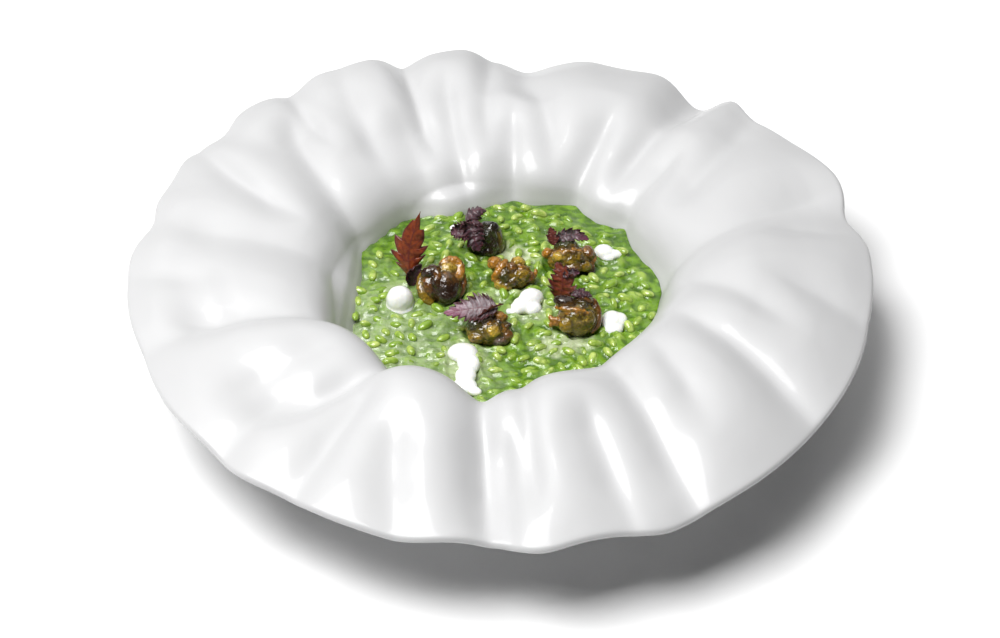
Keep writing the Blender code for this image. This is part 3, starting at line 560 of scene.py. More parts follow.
def makeGrains(material):
    around, along = grainLook["around"], grainLook["along"]
    points, faces, tints = [], [], []
    heights = sauceHeight(np.array([g[0] for g in grains]), np.array([g[1] for g in grains]))
    for (gx, gy, turn, tilt, size, depth, bend, tint), level in zip(grains, heights):
        first = len(points)
        half = (grainLook["length"] / 2 * size, grainLook["width"] / 2 * size, grainLook["thick"] / 2 * size)
        spin = Matrix.Rotation(turn, 3, "Z") @ Matrix.Rotation(math.radians(tilt), 3, "Y")
        middle = Vector((gx, gy, level + grainLook["lift"] - depth * grainLook["depthShare"]))
        for i in range(along + 1):
            s = -math.cos(math.pi * i / along)
            width = max(1.0 - abs(s) ** 2.3, 0.0) ** 0.5 * (1.0 - 0.10 * s * bend)
            for j in range(around):
                angle = math.tau * j / around
                spot = (gx + s * 3.0, gy + math.cos(angle), math.sin(angle) * 2 + gx)
                lump = 1.0 + 0.05 * noise.noise(spot)
                point = Vector((s * half[0], (math.cos(angle) * width * half[1] * lump
                                              + 0.28 * bend * (1 - s * s)),
                                math.sin(angle) * width * half[2] * lump))
                points.append(tuple(middle + spin @ point))
                tints.append(tint)
        for i in range(along):
            faces += ringFaces(first + i * around, first + (i + 1) * around, around)
        faces.append(tuple(range(first + around - 1, first - 1, -1)))
        faces.append(tuple(range(first + along * around, first + (along + 1) * around)))
    piece = makePiece("riceGrains", points, faces, material, ["risotto"])
    tidy = bmesh.new()
    tidy.from_mesh(piece.data)
    bmesh.ops.recalc_face_normals(tidy, faces=tidy.faces[:])
    tidy.to_mesh(piece.data)
    tidy.free()
    paint(piece, "tint", tints)
    # the sauce wets each grain at its waterline
    x, y, z = np.array(points).T
    paint(piece, "above", smoothStep((z - sauceHeight(x, y) - sauceRelief(x, y) + 0.05) / 0.55))
    return piece


def grainMaterial():
    material, tree, shader, where = startMaterial("greenRice", {
        "Roughness": 0.22, "Subsurface Weight": 0.35, "Subsurface Radius": (0.8, 1.0, 0.3),
        "Subsurface Scale": 0.0012, "Coat Weight": 0.8, "Coat Roughness": 0.05, "IOR": 1.4})
    tint = attributeNode(tree, "tint")
    base = rampNode(tree, tint, ((0.0, grainLook["dark"]), (0.45, grainLook["middle"]),
                                 (1.0, grainLook["light"])))
    film = noiseNode(tree, where, 420.0, 4.0, 0.55)
    colour = mixNode(tree, greyRamp(tree, film, 0.42, 0.64, 0.0, 0.6), base, (0.20, 0.35, 0.03))
    dry = timesNode(tree, attributeNode(tree, "above"), greyRamp(tree, film, 0.34, 0.60, 1.0, 0.55))
    colour = mixNode(tree, dry, grainLook["wet"], colour)
    tree.links.new(colour, shader.inputs["Base Color"])
    fine = noiseNode(tree, where, 1300.0, 3.0, 0.5)
    tree.links.new(bumpNode(tree, fine, 0.00018, 0.5), shader.inputs["Normal"])
    return material


riceGrains = makeGrains(grainMaterial())
print("grains made:", len(grains))


eyeSine, eyeCosine = 0.682, 0.731  # of the eye's 43 degrees above the table


def facing(right, up, toward):
    # a direction from the diner's side: to the right, up, and toward the eye
    return Vector((right, up * eyeSine - toward * eyeCosine, up * eyeCosine + toward * eyeSine))


def ballPoints(around, rings):
    ways = []
    for i in range(1, rings):
        polar = math.pi * i / rings
        for j in range(around):
            turn = math.tau * j / around
            ways.append((math.sin(polar) * math.cos(turn), math.sin(polar) * math.sin(turn), math.cos(polar)))
    return np.array(ways + [(0.0, 0.0, 1.0), (0.0, 0.0, -1.0)]), shellFaces(rings - 1, around)


def tubePoints(middle, radius, around=14):
    # a tube with round ends along a smooth path
    steps = len(middle) - 1
    ends = np.minimum(np.arange(steps + 1), np.arange(steps, -1, -1)) / 3.0
    radius = radius * np.sqrt(np.clip(1.0 - (1.0 - np.clip(ends, 0.0, 1.0)) ** 2, 0.02, 1.0))
    along = np.gradient(middle, axis=0)
    along /= np.linalg.norm(along, axis=1)[:, None]
    side = np.cross(along, (0.3, 0.2, 0.93))
    side /= np.linalg.norm(side, axis=1)[:, None]
    up = np.cross(side, along)
    turns = np.arange(around) * math.tau / around
    points = (middle[:, None, :] + radius[:, None, None] * (np.cos(turns)[None, :, None] * side[:, None, :]
                                                           + np.sin(turns)[None, :, None] * up[:, None, :]))
    faces = []
    for i in range(steps):
        faces += ringFaces((i + 1) * around, i * around, around)
    faces.append(tuple(range(around)))
    faces.append(tuple(range((steps + 1) * around - 1, steps * around - 1, -1)))
    return points.reshape(-1, 3), faces


def ballFrame(ball, screen):
    # middle, axes and half sizes of a lobe; screen means it is given as the diner sees it
    middle, half, turn = ball[:3]
    c, s = math.cos(math.radians(turn)), math.sin(math.radians(turn))
    if screen:
        axes = np.array([facing(c, s, 0.0), facing(-s, c, 0.0), facing(0.0, 0.0, 1.0)])
        return np.array(facing(*middle)), axes, np.array(half)
    return np.array(middle), np.array([(c, s, 0.0), (-s, c, 0.0), (0.0, 0.0, 1.0)]), np.array(half)


def tubeLine(tube):
    path, radii = tube[:2]
    at = np.linspace(0.0, len(path) - 1.0, 31)
    middle = np.array([facing(*step) for step in catmullRom(path, at) - (0.0, 0.0, snailLook["foldSink"])])
    return middle, catmullRom(np.array(radii)[:, None], at)[:, 0]


def meltTogether(balls, tubes, grid, rounds, screen=True):
    # lobes and tubes merged into one skin, with soft creases where they meet
    points, faces, count = [], [], 0
    ways, ballFaces = ballPoints(40, 26)
    for ball in balls:
        middle, axes, half = ballFrame(ball, screen)
        points.append(middle + (ways * half) @ axes)
        faces += [tuple(count + i for i in face) for face in ballFaces]
        count += len(ways)
    for tube in tubes:
        tubeVerts, tubeFaces = tubePoints(*tubeLine(tube))
        points.append(tubeVerts)
        faces += [tuple(count + i for i in face) for face in tubeFaces]
        count += len(tubeVerts)
    mesh = bpy.data.meshes.new("dough")
    mesh.from_pydata(np.concatenate(points).tolist(), [], faces)
    dough = bpy.data.objects.new("dough", mesh)
    bpy.context.scene.collection.objects.link(dough)
    merge = dough.modifiers.new("merge", "REMESH")
    merge.mode, merge.voxel_size = "VOXEL", grid
    soften = dough.modifiers.new("soften", "SMOOTH")
    soften.factor, soften.iterations = 0.5, rounds
    ready = dough.evaluated_get(bpy.context.evaluated_depsgraph_get()).to_mesh()
    skin = np.empty(len(ready.vertices) * 3)
    ready.vertices.foreach_get("co", skin)
    normals = np.empty(len(ready.vertices) * 3)
    ready.vertices.foreach_get("normal", normals)
    skinFaces = [tuple(face.vertices) for face in ready.polygons]
    bpy.data.objects.remove(dough)
    bpy.data.meshes.remove(mesh)
    return skin.reshape(-1, 3), normals.reshape(-1, 3), skinFaces


def ballGap(points, ball, screen=True):
    # roughly how far these points are outside a lobe
    middle, axes, half = ballFrame(ball, screen)
    local = (points - middle) @ axes.T
    near = np.linalg.norm(local / half, axis=1)
    return near * (near - 1.0) / np.maximum(np.linalg.norm(local / half ** 2, axis=1), 1e-6)


def tubeGap(points, tube):
    middle, radius = tubeLine(tube)
    away = np.linalg.norm(points[:, None, :] - middle[None, ::2, :], axis=2) - radius[None, ::2]
    return away.min(axis=1)


def lumps(points, rate, shift):
    away = Vector((shift, 0.3 * shift, 0.0))
    return np.array([noise.noise(Vector(point) * rate + away) for point in points])


meatColours = {
    "gold": (0.215, 0.136, 0.011), "bright": (0.42, 0.28, 0.032), "orange": (0.34, 0.150, 0.018),
    "brown": (0.125, 0.048, 0.009), "dark": (0.020, 0.009, 0.005), "black": (0.010, 0.008, 0.008),
    "olive": (0.135, 0.105, 0.011), "green": (0.026, 0.034, 0.009), "grey": (0.15, 0.115, 0.12),
}
snailLook = {
    "grid": 0.30, "rounds": 5, "sink": 1.9, "rest": 0.7, "foldSink": 0.8,
    "lump": 0.38, "wrinkle": 0.22, "skin": 0.05, "creaseDepth": 0.28, "blur": 0.45, "wander": 0.9,
}
# lobes: place (right, up, toward), half sizes, turn, colour; folds: path, radii and colour
snailShapes = {
    "snail_1": {"rough": 0.5,
        "lobes": (
            ((0.6, 0, -0.4), (7, 7.6, 7), 0, "black"), ((-3.4, -0.6, -0.6), (5, 6.4, 6), 0, "black"),
            ((4.9, -0.6, 0.8), (2.7, 6, 4.6), 8, "olive"), ((0.8, -5.6, 1.6), (4, 2.8, 4), 0, "dark"),
            ((2.6, 4.6, 3), (3.2, 2.6, 3), -20, "black"), ((0.6, 0.6, 5.2), (2.6, 3.4, 2.2), 15, "green"),
            ((-2.2, -2.2, 4.4), (2.4, 2.8, 2.4), 0, "dark"), ((3.2, -2.8, 4.4), (2, 2.8, 2), 20, "green")),
        "folds": (
            (((-1.6, 5.6, 3.6), (1.6, 3.4, 6), (3.4, 0.2, 6.2), (3, -3.6, 5.6)), (0.8, 1.2, 1.1, 0.7),
             "green"),)},
    "snail_2": {"rough": 0.7,
        "lobes": (
            ((2.2, -0.6, 0), (6.9, 8, 7.2), 0, "dark"), ((-4.6, 0, -1), (4.6, 7, 6), 10, "brown"),
            ((-4.2, 5.6, 2), (4.4, 3, 3.6), 20, "dark"), ((2.6, 6.6, 0.6), (4.8, 3.4, 3.2), 0, "bright"),
            ((2.6, -3.6, 4), (4.6, 4.6, 3.2), 20, "dark"), ((-1.2, 1.2, 4.4), (2.8, 3.4, 2.4), 30, "dark")),
        "folds": (
            (((-7.8, 5.8, 1), (-8.6, 1, 1.6), (-7, -4.6, 2.4), (-3, -8.4, 2)), (1.3, 1.9, 2.2, 1.4),
             "gold"),
            (((-1.4, 8, 1.6), (2, 10.2, 1), (6, 10.2, 0.6), (8.2, 7, 1), (7.2, 3.4, 2.6),
             (3.6, 2.4, 4.6), (0.4, 3.6, 5.2)), (1, 1.7, 2, 2.1, 2.1, 1.8, 0.9), "orange"),
            (((8.4, 7.6, 0), (9.4, 2.6, 0.6), (8.6, -2.6, 1.6), (6.4, -6.2, 2.2)), (1, 1.5, 1.4, 0.8),
             "brown"),
            (((-5.8, 7.6, 2.6), (-2.6, 6.2, 5), (-0.6, 3.2, 6), (-1.6, -0.6, 6)), (0.7, 1.1, 1.2, 0.7),
             "brown"))},
    "snail_3": {
        "lobes": (
            ((0.6, -0.6, -0.2), (8.6, 6, 6.4), 0, "gold"), ((-6.8, 4.2, 0.8), (3.4, 3.2, 3.8), 0, "orange"),
            ((-3.2, -5, 2.6), (4.2, 2.5, 3.2), -12, "bright"),
            ((-2.6, -1, 4.4), (2.6, 3.2, 2.4), 15, "green"), ((3, 4.6, 2.2), (3.4, 2.6, 3), -10, "bright"),
            ((4.2, -0.8, 4), (3.6, 3, 3.2), 0, "gold"), ((7.6, -1.6, 1.4), (3, 2.7, 3), 0, "brown"),
            ((0.4, -3.6, 4), (2.6, 2.2, 2.6), 0, "dark"), ((0.4, 2.4, 4.8), (2.2, 2.6, 2), 0, "brown")),
        "folds": (
            (((-1.6, 6.2, 3), (-3.8, 2.8, 5), (-6.4, -1, 4.4), (-7.8, -3.4, 2.6)), (1.2, 1.7, 1.8, 1),
             "orange"),
            (((7.6, -2.6, 2.6), (9.8, -0.6, 1.8), (10.4, 2.2, 1.2)), (1.1, 1.3, 0.7), "orange"),
            (((1, 5.4, 3.6), (3.6, 3, 5.2), (6.6, 2.2, 4)), (0.8, 1.1, 0.8), "orange"),
            (((-0.6, -1.2, 6.2), (1.6, -2.6, 6), (4.6, -3.6, 5)), (0.6, 0.9, 0.6), "bright"))},
    "snail_4": {
        "lobes": (
            ((0.4, -0.6, -0.2), (9.4, 6.4, 6.4), 0, "gold"),
            ((-8.6, 2.2, 0.8), (3, 2.3, 2.6), 10, "orange"),
            ((-0.8, 4.8, 0.8), (5.4, 3.2, 4.8), 0, "green"), ((-3.4, 0.4, 4.4), (4, 2.5, 2.6), 0, "bright"),
            ((3.2, 1, 4.2), (3.4, 2.6, 2.6), 0, "gold"), ((8.2, 2, 0.6), (3.2, 3.6, 3.6), 10, "brown"),
            ((9.8, -4.8, 0.6), (1.7, 3.2, 2.2), -10, "black"),
            ((1.4, -3.8, 3.6), (5, 2.2, 2.6), 0, "brown"), ((6.8, -3.2, 2.6), (3.2, 2.6, 3), 0, "gold"),
            ((5.6, -0.6, 5.6), (1.1, 0.9, 0.9), 0, "black"), ((2.6, 2.4, 6), (1.3, 1, 0.9), 0, "black")),
        "folds": (
            (((-6.6, 2, 3.4), (-2.6, 2.8, 5.6), (2, 3.2, 5.8), (6.4, 3.2, 4)), (0.8, 1.1, 1.1, 0.7),
             "orange"),
            (((7.2, 5, 1.6), (10.2, 2.6, 1.4), (10.6, -1.2, 1.4), (8.8, -4, 2.2)), (0.9, 1.2, 1.2, 0.8),
             "orange"),
            (((-5, -2.6, 4.6), (-1, -2, 6), (3, -2.2, 5.8)), (0.7, 1, 0.7), "bright"))},
    "snail_5": {"rough": 0.45,
        "lobes": (
            ((0.8, -0.6, -0.2), (8.4, 7.8, 7.9), 0, "olive"),
            ((-3.6, 5.4, 2.2), (5.8, 3.2, 4.2), -18, "dark"),
            ((-3.6, -3.4, 4.6), (3.6, 3.4, 2.8), 0, "gold"), ((3.2, 4.4, 4.8), (1.7, 1.5, 1.5), 0, "green"),
            ((4.6, -0.8, 4.4), (3.6, 4, 2.8), 20, "olive"), ((3.6, 7.2, 1), (4.2, 2, 3.6), -20, "brown")),
        "folds": (
            (((-9, 4, 2.6), (-4.5, 3, 6.2), (0.5, 2.6, 7.4), (4.6, 1.4, 7.2)), (0.6, 1.1, 1.1, 0.6),
             "orange"),
            (((-5.8, -2, 3.4), (-9.6, -1.2, 3.2), (-10.8, 0.6, 3.2)), (1.9, 1.4, 0.7), "orange"),
            (((-6.4, -2.6, 3.4), (-9.8, -3, 3), (-10.2, -4.6, 2.8)), (1.6, 1.2, 0.6), "orange"),
            (((4, 8.2, 0.8), (8, 5.8, 1.4), (9.6, 1, 1.8), (9, -4, 2), (6, -7.2, 2)),
             (1, 1.2, 1.3, 1.2, 0.8), "brown"),
            (((0.6, -2.6, 7.4), (4.4, -1.6, 7.4), (7.4, 1.6, 5.6)), (0.3, 0.5, 0.3), "bright"),
            (((0.8, -4.4, 6.6), (5, -3.4, 6.4), (8, -0.4, 4.8)), (0.3, 0.5, 0.3), "gold"),
            (((1.2, -6, 5.6), (5.2, -5.2, 5), (8, -2.6, 4)), (0.3, 0.5, 0.3), "bright"))},
    "snail_6": {
        "lobes": (
            ((0, -0.8, -0.2), (9.4, 6.2, 6.4), 0, "gold"), ((-5, 1.4, 2.6), (4.2, 3, 3.4), 0, "green"),
            ((4.6, 5, 1.4), (3.4, 2.2, 2.8), -15, "orange"), ((1.6, -1, 4.8), (3.6, 3.2, 2.6), 0, "bright"),
            ((8, 1.2, 2.4), (1.7, 1.3, 1.5), 0, "black"), ((4, 2.2, 5.2), (1.7, 1.3, 1.3), 20, "black"),
            ((7.6, -3, 1.8), (2.6, 3, 3), 0, "brown"), ((4.8, -5, 1.8), (3.8, 2.4, 3), 0, "grey"),
            ((-4.6, -3.8, 2.6), (4, 2.6, 3.2), 0, "gold"), ((-1, 3.8, 3.4), (3, 2.2, 2.6), 0, "dark")),
        "folds": (
            (((-7.6, 0.4, 3), (-3.4, -1, 5.6), (-0.6, -3.6, 5.4), (-0.2, -6.2, 3.8)),
             (0.7, 1.1, 1.1, 0.7), "olive"),
            (((5.6, 1.2, 4.8), (6.6, -1.8, 4.4), (5.8, -4.2, 4.2)), (0.8, 1, 0.7), "orange"),
            (((-1.4, 1.6, 5.6), (1.6, 1.8, 6.4), (4.8, 0.6, 5.6)), (0.6, 0.9, 0.6), "orange"))},
}


def settle(points, thing, look):
    # onto the sauce and a little sunk in it; also gives how far each point is above the seat
    middle, half, _ = thing
    above = np.maximum(points[:, 2] + look["rest"] * half[2], -0.2)
    seat = float(sauceHeight(*middle)) - look["sink"]
    return np.column_stack([points[:, :2], above]) + (*middle, seat), above


def makeSnail(name, material):
    look, thing, shape = snailLook, snails[name], snailShapes[name]
    seed = int(name[-1])
    points, normals, faces = meltTogether(shape["lobes"], shape["folds"], look["grid"], look["rounds"])
    coarse, fine = lumps(points, 0.42, 11.0 * seed), lumps(points, 1.1, 5.0 * seed)
    finest = lumps(points, 2.6, seed)
    # each patch takes the colour of the lobe or fold that it belongs to
    gaps = [ballGap(points, lobe) + 0.25 for lobe in shape["lobes"]]
    gaps += [tubeGap(points, fold) - 0.10 for fold in shape["folds"]]
    kinds = [lobe[3] for lobe in shape["lobes"]] + [fold[2] for fold in shape["folds"]]
    gaps = [gap + look["wander"] * lumps(points, 0.5, 3.0 * seed + k) for k, gap in enumerate(gaps)]
    shares = np.exp(-np.maximum(np.array(gaps), -1.2) / look["blur"])
    shares /= shares.sum(axis=0)
    colours = sum(share[:, None] * np.array(meatColours[kind]) for share, kind in zip(shares, kinds))
    crease = 1.0 - np.max(shares, axis=0)
    rough = shape.get("rough", 1.0)
    relief = look["lump"] * coarse + look["wrinkle"] * fine + look["skin"] * finest
    points = points + normals * (rough * relief - look["creaseDepth"] * crease)[:, None]
    points, _ = settle(points, thing, look)
    piece = makePiece("snailMeat" + name[-1], points, faces, material, [name])
    paintColour(piece, "meat", colours)
    # painted shade: the creases where lobes meet are darkened
    paint(piece, "crease", np.clip(crease * 1.6, 0.0, 1.0))
    return piece


def snailMaterial():
    material, tree, shader, where = startMaterial("glazedSnail", {
        "Roughness": 0.16, "Subsurface Weight": 0.12, "Subsurface Radius": (1.0, 0.45, 0.12),
        "Subsurface Scale": 0.0014, "Coat Weight": 0.7, "Coat Roughness": 0.04, "IOR": 1.45})
    meat = addNode(tree, "ShaderNodeAttribute", attribute_name="meat").outputs["Color"]
    blotch = noiseNode(tree, where, 520.0, 5.0, 0.62, 0.5)
    colour = mixNode(tree, greyRamp(tree, blotch, 0.52, 0.66, 0.0, 0.75), meat, (0.018, 0.010, 0.005))
    flake = noiseNode(tree, where, 800.0, 4.0, 0.6, 0.3)
    brighter = mixNode(tree, 1.0, meat, (1.9, 1.75, 1.5), "MULTIPLY")
    colour = mixNode(tree, greyRamp(tree, flake, 0.54, 0.66, 0.0, 0.9), colour, brighter)
    # painted shade, near black in the creases between lobes
    colour = mixNode(tree, greyRamp(tree, attributeNode(tree, "crease"), 0.25, 1.0, 0.0, 0.7), colour,
                     (0.020, 0.009, 0.004))
    herb = noiseNode(tree, where, 430.0, 2.0, 0.5, 1.2)
    colour = mixNode(tree, greyRamp(tree, herb, 0.68, 0.72, 0.0, 0.9), colour, (0.020, 0.050, 0.010))
    tree.links.new(colour, shader.inputs["Base Color"])
    fine = noiseNode(tree, where, 900.0, 5.0, 0.6, 0.4)
    coarse = noiseNode(tree, where, 300.0, 3.0, 0.5)
    soft = bumpNode(tree, coarse, 0.0008, 0.5)
    tree.links.new(bumpNode(tree, fine, 0.00035, 0.5, soft), shader.inputs["Normal"])
    return material


snailFinish = snailMaterial()
for name in snails:
    makeSnail(name, snailFinish)
print("snails made")


creamLook = {"grid": 0.30, "rounds": 24, "sink": 1.2, "rest": 0.45, "lump": 0.12, "skin": 0.04}
# lobes: place, half sizes and turn
creamShapes = {
    "cream_1": (((0, 0.2, 0.2), (5.8, 5.7, 6.2), 0), ((0.1, -0.4, -2.4), (6.4, 6.2, 2.7), 0),
        ((-0.7, 0.7, 1.7), (4.4, 4.2, 4.5), 0)),
    "cream_2": (((1.8, 2.6, 0.5), (5.2, 4.8, 4), 20), ((-4.8, -3, -0.8), (4.4, 3.2, 1.9), 25),
        ((3.6, 3, 0.4), (3.6, 4, 3.4), -20), ((-1.6, -0.8, -0.2), (4.6, 4.4, 3.1), 30),
        ((2.6, -2.6, -0.4), (3.8, 3.6, 2.6), 0)),
    "cream_3": (((-2, 0.6, 0), (4.4, 4.2, 3.3), 0), ((2.4, -0.2, -0.4), (3.9, 2.6, 2.1), -8),
        ((-0.4, -2, -0.5), (3.6, 2.8, 2.1), 10)),
    "cream_4": (((-1.2, 0.8, 0), (4.6, 5.6, 3.8), 0), ((1.6, 1.2, -0.2), (3.7, 4.8, 3), -15),
        ((-0.6, -3.4, -0.4), (4.2, 3.6, 2.7), 15)),
    "cream_5": (((0, 10, 0), (6.4, 5.2, 3.5), -6), ((-3, 10.6, -0.4), (3.6, 3.4, 2.6), 20),
        ((2.4, 4.2, -0.2), (4.8, 6, 3.1), 8), ((1.2, -2.6, -0.5), (4.4, 5.2, 2.5), -10),
        ((1, -8.2, -0.6), (5, 4.4, 2.3), 0), ((-2.8, -10.4, -1), (3.8, 3.2, 1.6), 30),
        ((4.6, -11, -0.8), (3.6, 2.4, 1.7), -25)),
    "cream_6": (((0, 0, 0), (2.8, 2.3, 1.7), 0), ((0.8, 0.6, 0.2), (1.6, 1.6, 1.5), 0)),
}


def makeCream(name, material):
    look, thing = creamLook, creams[name]
    points, normals, faces = meltTogether(creamShapes[name], (), look["grid"], look["rounds"], False)
    points = points + normals * (look["lump"] * lumps(points, 0.35, 7.0 * int(name[-1]))
                                 + look["skin"] * lumps(points, 0.95, 3.0))[:, None]
    points, above = settle(points, thing, look)
    piece = makePiece("cream" + name[-1], points, faces, material, [name])
    paint(piece, "low", smoothStep((2.4 - above) / 1.4))
    return piece


def creamMaterial():
    material, tree, shader, where = startMaterial("freshCream", {
        "Roughness": 0.28, "Subsurface Weight": 0.55, "Subsurface Radius": (1.0, 0.9, 0.7),
        "Subsurface Scale": 0.0016, "Coat Weight": 0.35, "Coat Roughness": 0.10})
    cloud = noiseNode(tree, where, 300.0, 3.0, 0.5)
    lowShare = timesNode(tree, attributeNode(tree, "low"), cloud)
    colour = mixNode(tree, greyRamp(tree, lowShare, 0.15, 0.65), (0.87, 0.87, 0.84), (0.64, 0.69, 0.38))
    tree.links.new(colour, shader.inputs["Base Color"])
    folds = noiseNode(tree, where, 260.0, 3.0, 0.5, 1.0)
    tree.links.new(bumpNode(tree, folds, 0.0009, 0.5), shader.inputs["Normal"])
    return material


creamFinish = creamMaterial()
for name in creams:
    makeCream(name, creamFinish)
print("cream made")


leafLook = {"along": 150, "across": 28, "thick": 0.28, "toothDepth": 0.50, "veins": 0.22}
# each leaf is one or more sheets: spine points, side direction at the foot and at the tip, half width,
# teeth a side, cup, wave, how full it is along its length, shares of red and violet, seed
leafColumns = ("spine", "side", "half", "teeth", "cup", "wave", "full", "red", "violet", "seed")
leaves = {
    "leaf_1": (
        (((-38.8, 13.2, 21), (-39.8, 13.8, 27), (-40, 15.6, 33.2), (-38.8, 17.8, 39.6),
         (-36.7, 20.2, 45.8), (-34.8, 22.2, 51.4)),
        ((1, -0.15, -0.12), (1, -0.1, -0.3)), 7.8, 5, -0.22, 0.08, (0.8, 1.6), 1, 0, 3),
        (((-39.2, 10.6, 20.5), (-38.6, 11, 25), (-37.2, 11.8, 29), (-34.6, 12.6, 30.6)),
        ((1, 0, -0.2), (0.6, 0.2, -0.8)), 3.2, 2, 0.7, 0.1, (0.8, 0.6), 0, 0, 5)),
    "leaf_2": (
        (((-10.6, 32.4, 33.2), (-15, 32.6, 32.6), (-19, 33.2, 31), (-22.6, 34.2, 29.6)),
        ((0.1, -0.5, -0.85), (-0.2, -0.6, -0.75)), 4.4, 9, -0.45, 0.24, (0.8, 0.65), 0.05, 0.35, 7),
        (((-15, 34.6, 30.6), (-14.8, 37, 34), (-12.6, 39.4, 36.6), (-9.6, 41, 36.6), (-7.4, 42.2, 34.6)),
        ((0.9, -0.1, 0.3), (0.2, -0.7, -0.5)), 3.8, 7, -0.7, 0.25, (0.7, 0.8), 0, 0.25, 8),
        (((-13, 36.4, 34.4), (-13.4, 32.2, 32.8), (-12.3, 28.8, 29.2), (-10.4, 26.8, 25.4)),
        ((1, 0.1, 0.1), (0.9, 0.2, 0.2)), 5.2, 7, -0.45, 0.24, (0.6, 0.6), 0, 0.1, 9)),
    "leaf_3": (
        (((22, 26, 31.6), (25.8, 27, 33.8), (30.6, 27.6, 33.8), (35.8, 27.4, 31.4)),
        ((0, 0.55, 0.8), (0.3, 0.6, 0.7)), 3.3, 7, -0.3, 0.3, (0.7, 0.6), 0, 0.8, 11),
        (((20.9, 25, 30.4), (20.6, 26.8, 34), (19.6, 29, 37)), ((1, -0.1, 0.1), (0.9, -0.2, 0.3)), 2.9, 4,
        0.3, 0.15, (0.7, 0.7), 0.45, 0, 12)),
    "leaf_4": (
        (((22.8, 1, 20.6), (24.2, 2.4, 26.4), (24.2, 4.8, 31.6), (21.8, 8.6, 35.4)),
        ((1, -0.1, 0.05), (0.9, -0.1, 0.4)), 6.3, 6, 0.25, 0.12, (0.72, 0.8), 0.72, 0, 17),
        (((24.6, 4.2, 31.2), (27.6, 4.8, 32.8), (31.4, 5.6, 32.2)), ((0, 0.6, 0.8), (0.2, 0.6, 0.75)), 2.2,
        6, -0.4, 0.35, (0.8, 0.6), 0, 0.7, 18)),
    "leaf_5": (
        (((-2.6, -17.2, 32.8), (-8.6, -16.9, 33), (-15, -16.6, 31.7), (-24.8, -17.3, 30.2)),
        ((0.05, -0.95, -0.22), (0.1, -0.95, -0.25)), 7.6, 10, -0.12, 0.08, (0.75, 0.75), 0.12, 0.85, 23),
        (((-10.6, -21.4, 32.2), (-5.8, -18.8, 33.9), (-0.2, -16.6, 34.8)),
        ((0.2, -0.7, 0.7), (0.1, -0.5, 0.9)), 1.7, 5, 0.5, 0.25, (0.8, 0.6), 0.55, 0, 24)),
    "leaf_6": (
        (((27.6, -9.9, 33.7), (31.6, -9.2, 34.6), (36.2, -10.4, 33.4)), ((0.2, 0.9, 0.25), (0.1, 0.9, 0.2)),
        2.6, 6, 0.2, 0.25, (0.8, 0.7), 0, 0, 29),),
}


def leafSheet(look):
    along, across = leafLook["along"], leafLook["across"]
    s = np.linspace(0.0, 1.0, along + 1)
    spine = catmullRom(look["spine"], s * (len(look["spine"]) - 1))
    forward = np.gradient(spine, axis=0)
    forward /= np.linalg.norm(forward, axis=1)[:, None]
    first, last = (np.array(side, float) for side in look["side"])
    side = first + (last - first) * s[:, None]
    side -= forward * np.sum(side * forward, axis=1)[:, None]
    side /= np.linalg.norm(side, axis=1)[:, None]
    up = np.cross(side, forward)
    low, high = look["full"]
    body = np.sin(math.pi * s ** low) ** high
    t = np.linspace(-1.0, 1.0, across + 1)
    draw = random.Random(look["seed"])
    points, reach = [], []
    for j, tj in enumerate(t):
        shift = 0.37 if tj > 0 else 0.0
        saw = (s * look["teeth"] + shift + 0.25 * np.sin(s * 9 + look["seed"])) % 1.0
        tooth = 1.0 - leafLook["toothDepth"] * (1.0 - saw) ** 1.3 * abs(tj) ** 2.5
        wave = look["wave"] * np.sin(s * 21.0 + 3.2 * tj + look["seed"]) * abs(tj) ** 1.5
        wave += 0.5 * look["wave"] * np.sin(s * 47.0 + 1.7 * tj + 2 * look["seed"]) * abs(tj)
        vein = leafLook["veins"] * 0.08 * np.cos((s * look["teeth"] - abs(tj) * 0.9) * math.tau)
        vein *= abs(tj) ** 0.5
        width = body * look["half"] * tooth
        lift = look["half"] * body * (look["cup"] * tj * tj + wave + vein)
        lean = look["half"] * abs(tj) ** 2.5 * (0.05 + 0.22 * saw)
        points.append(spine + side * (tj * width)[:, None] + up * lift[:, None]
                      + forward * (lean * body)[:, None])
        reach.append(np.full(along + 1, abs(tj)))
    points = np.stack(points, axis=1).reshape(-1, 3)
    width = across + 1
    faces = [(i * width + j, i * width + j + 1, (i + 1) * width + j + 1, (i + 1) * width + j)
             for i in range(along) for j in range(across)]
    return points, faces, np.stack(reach, axis=1).reshape(-1), np.repeat(s, width)


def makeLeaf(name, material):
    points, faces, paints = [], [], {"edge": [], "along": [], "red": [], "violet": [], "vein": []}
    count = 0
    for row in leaves[name]:
        look = dict(zip(leafColumns, row))
        sheet, sheetFaces, edge, along = leafSheet(look)
        faces += [tuple(count + i for i in face) for face in sheetFaces]
        count += len(sheet)
        points.append(sheet)
        paints["edge"].append(edge)
        paints["along"].append(along)
        paints["red"].append(np.full(len(sheet), look["red"]))
        paints["violet"].append(np.full(len(sheet), look["violet"]))
        rib = np.exp(-(edge / 0.06) ** 2)
        between = (along * look["teeth"] - edge * 0.9) % 1.0 - 0.5
        fine = np.exp(-(between / 0.10) ** 2) * (0.3 + 0.7 * (1 - edge))
        paints["vein"].append(np.maximum(rib, fine))
    piece = makePiece("shisoLeaf" + name[-1], np.concatenate(points), faces, material, [name])
    for kind, values in paints.items():
        paint(piece, kind, np.concatenate(values))
    solid = piece.modifiers.new("thickness", "SOLIDIFY")
    solid.thickness = leafLook["thick"] * millimetre
    solid.offset = 0.0
    return piece


